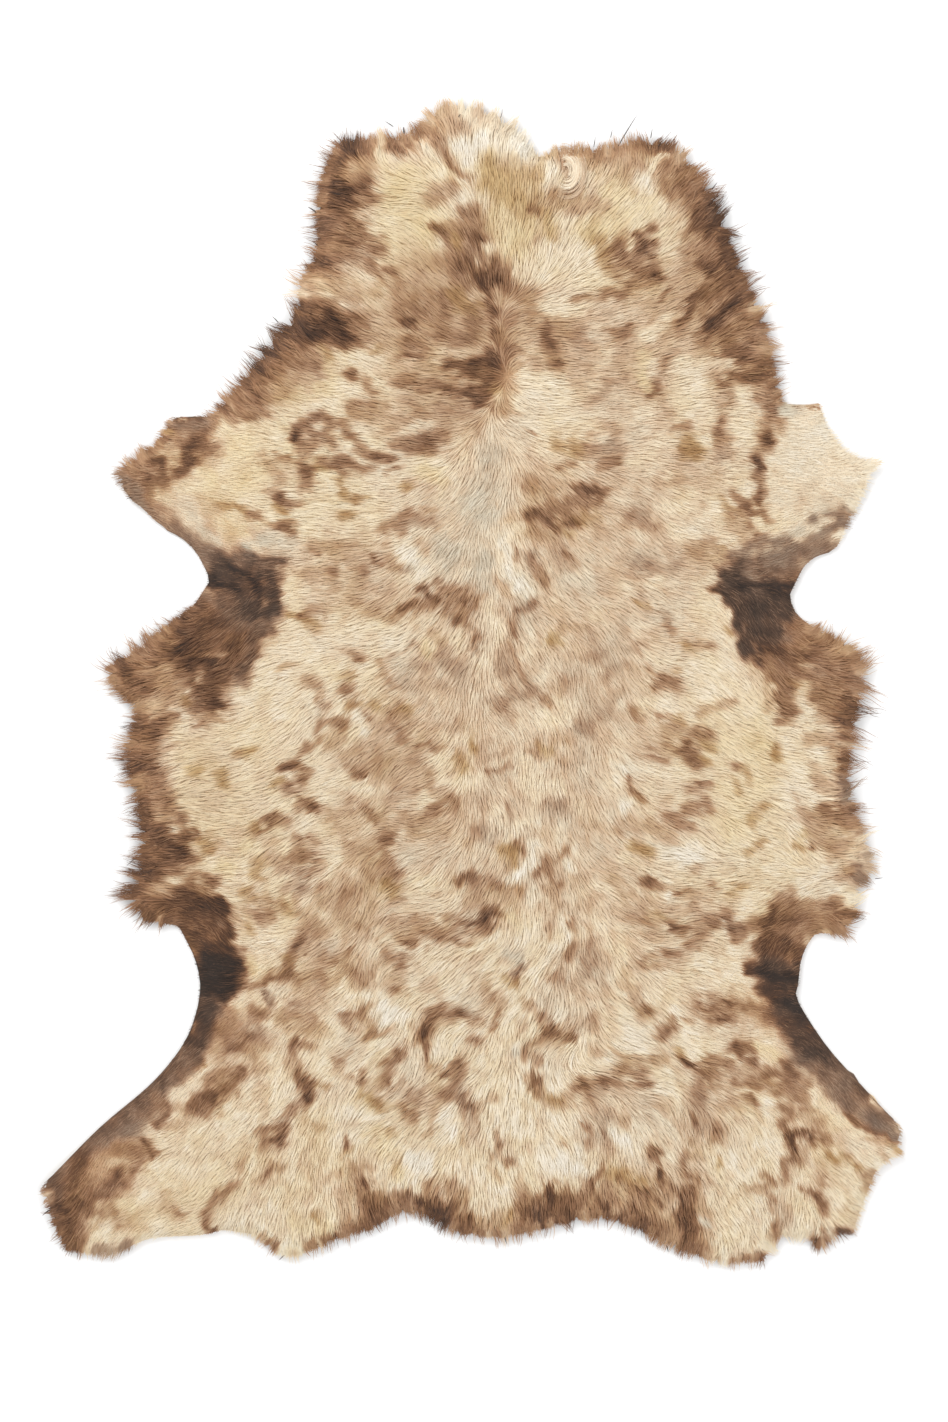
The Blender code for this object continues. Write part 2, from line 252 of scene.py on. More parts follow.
print("mapping the hide")
edgeTree = kdtree.KDTree(len(edgePlace))
for index, point in enumerate(edgePlace):
    edgeTree.insert((point[0], point[1], 0), index)
edgeTree.balance()
inside = insideEdge()
depthIn = np.zeros(mapX.shape)  # distance from the skin's edge, above 0 inside
nearestEdge = np.zeros(mapX.shape, dtype=int)
woolHeight = np.zeros(mapX.shape)
skinLift = np.zeros(mapX.shape)
for row in range(mapX.shape[0]):
    for column in range(mapX.shape[1]):
        x, y = mapX[row, column], mapY[row, column]
        index, distance = edgeTree.find((x, y, 0))[1:]
        depthIn[row, column] = distance if inside[row, column] else -distance
        nearestEdge[row, column] = index
        if inside[row, column]:
            hit = hideTree.ray_cast(Vector((x * mm, y * mm, 0.2)), Vector((0, 0, -1)))[0]
            under = hideTree.ray_cast(Vector((x * mm, y * mm, -0.2)), Vector((0, 0, 1)))[0]
            woolHeight[row, column] = hit.z / mm if hit else 2
            skinLift[row, column] = under.z / mm if under else 0
everywhere = np.ones(mapX.shape)
outX = blurred(edgeOutward[nearestEdge, 0], everywhere, mapSettings["outwardBlur"])
outY = blurred(edgeOutward[nearestEdge, 1], everywhere, mapSettings["outwardBlur"])
reachNear = blurred(edgeReach[nearestEdge], everywhere, mapSettings["reachBlur"])
softHeight = blurred(woolHeight, inside, mapSettings["smoothing"])
softLift = blurred(skinLift, inside, mapSettings["smoothing"])
smoothShare = smoothStep(depthIn, *mapSettings["smoothBand"])
woolHeight = np.where(inside, mix(woolHeight, softHeight, smoothShare), softHeight)
skinLift = np.where(inside, mix(skinLift, softLift, smoothShare), softLift)
# lumps, fainter on the sleek neck and back
lumps = mapSettings["tuftRelief"] * hills(mapX, mapY, mapSettings["tuftSize"], 141, 3)
lively = mix(mapSettings["calmRelief"], 1, smoothStep(-mapY, *mapSettings["calmBand"]))
lumps *= smoothStep(depthIn, *mapSettings["tuftBand"]) * lively
woolHeight = woolHeight + lumps * smoothStep(woolHeight - skinLift, *mapSettings["leastPile"])
skinArea = inside.sum() * mapSettings["step"] ** 2
print("  skin area in square metres:", round(skinArea * 1e-6, 3))

# How the hair lies: a heading in degrees at each place, 0 to the photograph's right and 90 up to the neck
hairGuides = (
    # neck
    (456, 108, 90), (366, 142, 97), (534, 137, 90), (629, 147, 85), (334, 179, 170), (340, 150, 150),
    (405, 200, 185), (480, 140, 92), (435, 135, 115), (430, 300, 147), (400, 330, 150), (370, 290, 143),
    (460, 380, 178), (300, 310, 140), (305, 265, 167), (560, 330, -5), (600, 300, 10), (660, 285, 20),
    (720, 220, 45), (745, 245, 42), (720, 320, 35), (760, 350, 10), (775, 385, -20), (500, 200, 90),
    (450, 220, 130), (560, 220, 60), (620, 210, 45), (670, 200, 50), (690, 150, 65), (500, 270, 92),
    (520, 320, 10), (480, 320, 165), (350, 240, 160), (350, 340, 160), (600, 390, 0), (660, 360, 8),
    (260, 370, 140), (240, 395, 150), (400, 400, 175), (340, 400, 170), (720, 400, 5),
    # fore legs and armpits
    (130, 470, 182), (150, 460, 190), (180, 530, 140), (220, 540, 160), (230, 560, 165), (210, 578, 180),
    (240, 600, 220), (235, 640, 240), (200, 640, 215), (160, 660, 190), (105, 670, 180), (200, 460, 185),
    (260, 470, 180), (200, 500, 170), (820, 430, -5), (880, 459, 3), (850, 500, -20), (840, 530, 35),
    (800, 540, 32), (765, 570, 12), (750, 620, -68), (770, 620, -50), (790, 630, -35), (820, 650, -15),
    (860, 670, -5), (770, 680, -55), (790, 470, -8), (740, 480, -5),
    # shoulders and back
    (360, 450, 176), (300, 450, 178), (420, 440, 178), (440, 520, 203), (350, 520, 180), (300, 520, 178),
    (440, 600, 235), (460, 650, 243), (330, 600, 185), (380, 640, 196), (490, 470, 262), (475, 500, 232),
    (500, 540, 280), (530, 430, -20), (570, 440, -12), (620, 450, 5), (540, 500, -42), (575, 540, -45),
    (530, 560, -62), (620, 500, -30), (640, 520, -50), (690, 470, -8), (690, 560, -5), (610, 600, -32),
    (560, 620, -40), (680, 640, 0), (610, 665, -55), (580, 685, -85), (530, 690, -50), (560, 760, -88),
    (610, 780, -58), (650, 740, -22), (680, 800, -6), (665, 865, -5), (600, 860, -48), (630, 920, -18),
    (690, 935, -10), (640, 890, -42), (440, 690, 232), (400, 740, 202), (420, 800, 186), (400, 830, 182),
    (380, 700, 214), (340, 740, 228), (350, 900, 250), (380, 780, 240), (440, 840, 205), (485, 830, 270),
    (470, 700, 265), (505, 700, -45), (495, 790, -75), (420, 910, 186), (360, 930, 226), (460, 930, 205),
    (470, 880, 258), (590, 760, -85), (620, 720, -45), (550, 880, -70), (590, 905, -62), (520, 860, -80),
    # flanks and hind notches
    (850, 740, 0), (840, 800, -5), (860, 860, -5), (800, 700, -10), (780, 760, -20), (800, 840, -30),
    (770, 950, 65), (785, 925, 45), (810, 910, 10), (840, 918, -10), (770, 1000, -25), (740, 800, -12),
    (740, 900, -8), (215, 980, 183), (225, 940, 135), (200, 920, 160), (160, 910, 188), (130, 925, 215),
    (150, 740, 182), (150, 800, 180), (160, 850, 185), (150, 880, 200), (130, 860, 210), (250, 700, 190),
    (240, 800, 185), (260, 880, 190), (300, 820, 200), (280, 640, 185), (250, 950, 195),
    # hind legs and rump
    (830, 1060, -50), (880, 1120, -48), (890, 1155, -20), (840, 1170, -60), (845, 1228, -30),
    (820, 1245, -85), (790, 1235, -90), (730, 1260, -90), (690, 1250, -80), (640, 1230, -80),
    (600, 1215, -90), (545, 1215, -90), (500, 1235, -88), (440, 1220, -65), (370, 1190, -75),
    (330, 1235, -110), (300, 1255, -100), (270, 1250, -110), (60, 1180, 228), (160, 1065, 226),
    (150, 1120, 215), (60, 1200, 232), (50, 1210, 205), (80, 1240, 245), (110, 1250, 215),
    (140, 1200, 215), (180, 1230, 200), (240, 1225, 250), (220, 1040, 225), (210, 1090, 220),
    (260, 1060, 245), (370, 960, 262), (400, 950, 186), (440, 1010, 192), (420, 1040, 265),
    (390, 1070, 250), (450, 1070, 212), (440, 1100, 188), (350, 1050, 228), (380, 1130, 205),
    (470, 1110, 250), (340, 1140, 265), (500, 1150, 270), (420, 1190, -80), (460, 1200, -98),
    (545, 960, -130), (595, 960, -60), (640, 1000, -50), (600, 1080, -8), (650, 1070, 4),
    (560, 1030, -118), (605, 1110, -60), (540, 1160, -75), (580, 1160, -98), (550, 1200, -90),
    (600, 1200, -72), (660, 1150, -60), (685, 1130, -80), (625, 1180, -40), (690, 1060, 0),
    (740, 1030, -10), (760, 1080, -30), (740, 1140, -60), (780, 1180, -75), (300, 1000, 215),
    (280, 1100, 235), (300, 1180, 255), (720, 980, -15),
)
flowSettings = {
    "nearness": 3.0,  # how strongly the nearest guides win
    "guideSoftness": 60.0,  # square mm
    "swirlSize": 55.0,
    "swirlCalm": 10.0,  # degrees, on the neck and back
    "swirlLively": 30.0,  # degrees, on the lower half
    "livelyFrom": 60.0,  # mm along the hide
    "livelyTo": -220.0,
    "swirlFade": 40.0,  # mm from the edge in which the swirl fades
    "edgeBand": 26.0,  # mm from a woolly edge in which the hair turns outward
    "edgeTurn": 0.75,
    "woollyReach": 7.0,  # mm of wool past the edge that make it a fully woolly one
    "blur": 4.0,
}


def mapFlow():
    sumX, sumY = np.zeros(mapX.shape), np.zeros(mapX.shape)
    for px, py, degrees in hairGuides:
        gx, gy = fromPhoto(px, py)
        away = (mapX - gx) ** 2 + (mapY - gy) ** 2 + flowSettings["guideSoftness"]
        weight = 1 / away ** (flowSettings["nearness"] / 2)
        sumX += weight * math.cos(math.radians(degrees))
        sumY += weight * math.sin(math.radians(degrees))
    lively = smoothStep(-mapY, -flowSettings["livelyFrom"], -flowSettings["livelyTo"])
    swirl = np.radians(mix(flowSettings["swirlCalm"], flowSettings["swirlLively"], lively))
    turn = swirl * hills(mapX, mapY, flowSettings["swirlSize"], 3, 2)
    turn *= smoothStep(depthIn, 0, flowSettings["swirlFade"])
    angle = np.arctan2(sumY, sumX) + turn
    woolly = np.clip(reachNear / flowSettings["woollyReach"], 0, 1)
    toEdge = woolly * (1 - smoothStep(depthIn, 0, flowSettings["edgeBand"])) * flowSettings["edgeTurn"]
    flowX = np.cos(angle) * (1 - toEdge) + outX * toEdge
    flowY = np.sin(angle) * (1 - toEdge) + outY * toEdge
    flowX = blurred(flowX, everywhere, flowSettings["blur"])
    flowY = blurred(flowY, everywhere, flowSettings["blur"])
    length = np.hypot(flowX, flowY) + 1e-6
    return flowX / length, flowY / length


print("combing the hair")
flowX, flowY = mapFlow()

# The tones of the wool: how dark, and how warm from grey 0 over plain 0.5 to golden 1
tones = {
    "white": (0.02, 0.40),
    "cream": (0.11, 0.56),
    "butter": (0.15, 0.85),
    "shell": (0.20, 0.40),
    "sand": (0.24, 0.70),
    "pink": (0.255, 0.47),
    "olive": (0.40, 0.95),
    "haze": (0.22, 0.15),
    "tan": (0.42, 0.60),
    "moss": (0.6, 0.12),
    "plum": (0.47, 0.42),
    "ochre": (0.50, 0.90),
    "brown": (0.6, 0.55),
    "umber": (0.75, 0.53),
    "dark": (0.87, 0.48),
    "black": (0.97, 0.30),
    "slate": (0.84, 0.22),
    "hide": (0.69, 0.28),
    "taupe": (0.60, 0.18),
}

# Broad soft fields of tone, given in the photograph's pixels:
# tone, points x y in order, half width, strength
toneFields = (
    ("pink", 500, 640, 540, 880, 145, 0.85),
    ("tan", 410, 310, 450, 400, 42, 0.75),
    ("tan", 500, 310, 560, 345, 34, 0.7),
    ("pink", 600, 310, 650, 360, 45, 0.7),
    ("tan", 650, 290, 680, 320, 30, 0.6),
    ("pink", 430, 450, 460, 490, 35, 0.6),
    ("pink", 600, 400, 640, 430, 40, 0.6),
    ("tan", 545, 500, 590, 520, 36, 0.8),
    ("pink", 630, 470, 650, 540, 45, 0.8),
    ("pink", 690, 545, 720, 558, 30, 0.6),
    ("pink", 600, 570, 640, 620, 60, 0.8),
    ("pink", 540, 650, 600, 700, 70, 0.85),
    ("tan", 345, 560, 370, 600, 30, 0.5),
    ("tan", 392, 724, 425, 800, 34, 0.65),
    ("tan", 352, 820, 372, 880, 26, 0.6),
    ("tan", 332, 740, 350, 760, 14, 0.6),
    ("shell", 420, 500, 480, 600, 40, 0.6),
    ("haze", 490, 440, 478, 600, 17, 0.6),
    ("butter", 400, 180, 410, 240, 32, 0.9),
    ("olive", 515, 170, 522, 235, 32, 0.5),
    ("butter", 600, 170, 640, 260, 40, 0.7),
    ("sand", 190, 765, 210, 830, 32, 0.7),
    ("sand", 230, 700, 300, 1000, 36, 0.4),
    ("butter", 210, 450, 330, 500, 45, 0.4),
    ("shell", 800, 450, 850, 475, 38, 0.5),
    ("butter", 740, 700, 740, 880, 40, 0.6),
    ("pink", 640, 960, 630, 1010, 46, 0.7),
    ("tan", 690, 890, 640, 940, 40, 0.5),
    ("tan", 350, 900, 400, 960, 40, 0.6),
    ("pink", 420, 960, 470, 960, 34, 0.6),
    ("tan", 300, 930, 312, 1010, 24, 0.7),
    ("tan", 235, 1030, 262, 1060, 30, 0.6),
    ("butter", 120, 1200, 200, 1180, 40, 0.5),
    ("butter", 440, 1100, 560, 1150, 60, 0.3),
    ("sand", 300, 1130, 330, 1190, 50, 0.4),
    ("plum", 700, 1090, 712, 1130, 24, 0.6),
    ("pink", 600, 1100, 660, 1130, 40, 0.7),
    ("tan", 620, 1195, 680, 1205, 34, 0.8),
    ("brown", 640, 1225, 690, 1235, 24, 0.7),
    ("tan", 400, 1095, 440, 1100, 24, 0.5),
    ("tan", 760, 1015, 780, 1040, 22, 0.6),
    ("sand", 820, 1130, 840, 1210, 28, 0.4),
    ("sand", 720, 1200, 745, 1240, 30, 0.5),
    # the brown of the edges
    ("brown", 345, 150, 328, 262, 22, 0.7),
    ("brown", 700, 200, 712, 300, 24, 0.85),
    ("brown", 740, 300, 765, 370, 22, 0.7),
    ("umber", 290, 325, 345, 326, 24, 0.85),
    ("brown", 255, 385, 310, 345, 26, 0.8),
    ("tan", 430, 320, 490, 345, 34, 0.6),
    ("brown", 415, 420, 465, 420, 20, 0.5),
    ("brown", 175, 432, 205, 448, 15, 0.85),
    ("umber", 140, 472, 165, 482, 14, 0.7),
    ("taupe", 205, 556, 285, 556, 9, 0.7),
    ("brown", 118, 672, 150, 675, 200, 640, 30, 0.85),
    ("umber", 185, 650, 215, 622, 22, 0.85),
    ("umber", 262, 612, 245, 640, 225, 680, 212, 702, 18, 0.95),
    ("slate", 216, 576, 262, 584, 250, 610, 15, 0.95),
    ("brown", 130, 700, 138, 780, 145, 860, 24, 0.8),
    ("umber", 140, 870, 178, 852, 16, 0.7),
    ("umber", 145, 906, 215, 910, 14, 0.9),
    ("umber", 190, 925, 212, 945, 16, 0.95),
    ("black", 210, 962, 222, 985, 17, 0.95),
    ("dark", 202, 1000, 198, 1022, 190, 1042, 178, 1062, 164, 1078, 150, 1091, 8, 0.9),
    ("umber", 194, 1112, 214, 1092, 238, 1084, 9, 0.9),
    ("hide", 150, 1096, 110, 1130, 60, 1178, 19, 0.95),
    ("umber", 60, 1190, 70, 1238, 19, 0.95),
    ("brown", 84, 1190, 110, 1170, 140, 1152, 17, 0.8),
    ("brown", 208, 1215, 224, 1196, 7, 0.7),
    ("slate", 742, 592, 778, 600, 14, 0.95),
    ("slate", 754, 612, 764, 646, 13, 0.9),
    ("brown", 770, 652, 786, 700, 14, 0.8),
    ("brown", 795, 640, 856, 662, 24, 0.9),
    ("brown", 836, 690, 850, 740, 20, 0.8),
    ("brown", 848, 770, 852, 815, 14, 0.7),
    ("moss", 862, 806, 874, 885, 9, 0.7),
    ("brown", 784, 914, 842, 918, 15, 0.95),
    ("umber", 766, 930, 790, 956, 18, 0.8),
    ("black", 764, 966, 792, 985, 13, 0.9),
    ("brown", 705, 1012, 762, 1010, 15, 0.6),
    ("umber", 776, 1005, 800, 1036, 15, 0.9),
    ("hide", 794, 1050, 846, 1090, 13, 0.9),
    ("dark", 790, 1000, 812, 1030, 836, 1058, 866, 1090, 9, 0.9),
    ("taupe", 850, 1098, 892, 1130, 12, 0.95),
    ("umber", 355, 1190, 375, 1218, 15, 0.8),
    ("umber", 395, 1208, 425, 1206, 455, 1218, 14, 0.85),
    ("umber", 530, 1212, 570, 1212, 14, 0.8),
    ("brown", 470, 1226, 520, 1226, 10, 0.7),
    # darker shoulders, flanks and notches
    ("brown", 430, 312, 500, 330, 560, 335, 26, 0.35),
    ("tan", 262, 375, 330, 372, 400, 350, 30, 0.4),
    ("umber", 310, 336, 336, 340, 14, 0.5),
    ("tan", 640, 285, 700, 262, 22, 0.5),
    ("olive", 540, 150, 548, 240, 16, 0.4),
    ("tan", 560, 380, 700, 385, 30, 0.3),
    ("tan", 680, 480, 720, 470, 24, 0.45),
    ("sand", 610, 165, 660, 200, 30, 0.3),
    ("umber", 640, 146, 668, 144, 8, 0.85),
    ("umber", 388, 142, 416, 139, 8, 0.85),
    ("pink", 440, 112, 475, 120, 14, 0.5),
    ("umber", 150, 652, 200, 642, 18, 0.5),
    ("umber", 224, 636, 240, 676, 13, 0.6),
    ("slate", 190, 548, 204, 560, 9, 0.7),
    ("umber", 176, 905, 190, 950, 11, 0.7),
    ("dark", 203, 985, 210, 1025, 10, 0.6),
    ("umber", 200, 1102, 222, 1086, 11, 0.7),
    ("tan", 222, 920, 280, 914, 18, 0.5),
    ("tan", 212, 1045, 236, 1040, 13, 0.4),
    ("umber", 785, 1000, 802, 1036, 16, 0.5),
    ("taupe", 800, 1022, 846, 1066, 11, 0.6),
    ("umber", 800, 952, 802, 972, 8, 0.6),
    ("tan", 838, 826, 852, 876, 14, 0.5),
    ("dark", 790, 570, 800, 598, 9, 0.6),
    ("umber", 752, 664, 762, 682, 11, 0.6),
    ("brown", 800, 650, 812, 672, 12, 0.5),
    ("sand", 100, 1192, 290, 1160, 40, 0.35),
    ("umber", 140, 700, 150, 790, 18, 0.45),
    ("umber", 150, 800, 166, 830, 14, 0.6),
    ("umber", 128, 880, 140, 890, 12, 0.7),
    ("umber", 122, 668, 140, 690, 14, 0.5),
    ("brown", 740, 350, 748, 385, 18, 0.6),
    ("brown", 690, 285, 725, 250, 16, 0.5),
    ("umber", 820, 690, 850, 720, 14, 0.4),
    ("brown", 540, 152, 600, 160, 10, 0.35),
    ("dark", 796, 404, 824, 405, 2.5, 0.9),
    ("dark", 172, 418, 214, 419, 2.5, 0.9),
    ("tan", 250, 402, 330, 350, 28, 0.35),
    ("tan", 350, 240, 368, 282, 18, 0.4),
    ("tan", 440, 268, 460, 282, 14, 0.4),
    ("tan", 480, 388, 545, 350, 24, 0.4),
    ("tan", 640, 350, 740, 398, 24, 0.35),
    ("sand", 560, 180, 680, 180, 28, 0.4),
    ("tan", 618, 158, 640, 190, 10, 0.4),
    ("sand", 210, 510, 290, 590, 26, 0.4),
    # lighter places
    ("cream", 300, 1010, 680, 1010, 50, 0.4),
    ("cream", 300, 1100, 640, 1105, 42, 0.4),
    ("cream", 450, 950, 700, 940, 28, 0.4),
    ("cream", 350, 500, 460, 560, 30, 0.3),
    ("cream", 350, 690, 430, 650, 24, 0.35),
    ("cream", 460, 910, 590, 1000, 40, 0.35),
    ("cream", 570, 930, 680, 950, 20, 0.35),
    ("cream", 715, 850, 750, 860, 28, 0.35),
    ("cream", 720, 985, 730, 1000, 12, 0.5),
    ("white", 800, 440, 835, 480, 26, 0.5),
    ("cream", 480, 1120, 540, 1060, 26, 0.3),
    ("sand", 345, 1165, 352, 1185, 12, 0.5),
    ("cream", 450, 475, 500, 545, 26, 0.3),
    ("cream", 420, 600, 480, 690, 24, 0.2),
    ("brown", 236, 398, 272, 352, 12, 0.5),
    ("tan", 560, 140, 660, 205, 24, 0.3),
    ("cream", 500, 1050, 530, 1140, 34, 0.35),
    ("cream", 540, 960, 570, 1060, 30, 0.3),
    ("cream", 700, 870, 760, 880, 24, 0.3),
    ("tan", 600, 340, 700, 340, 24, 0.3),
)

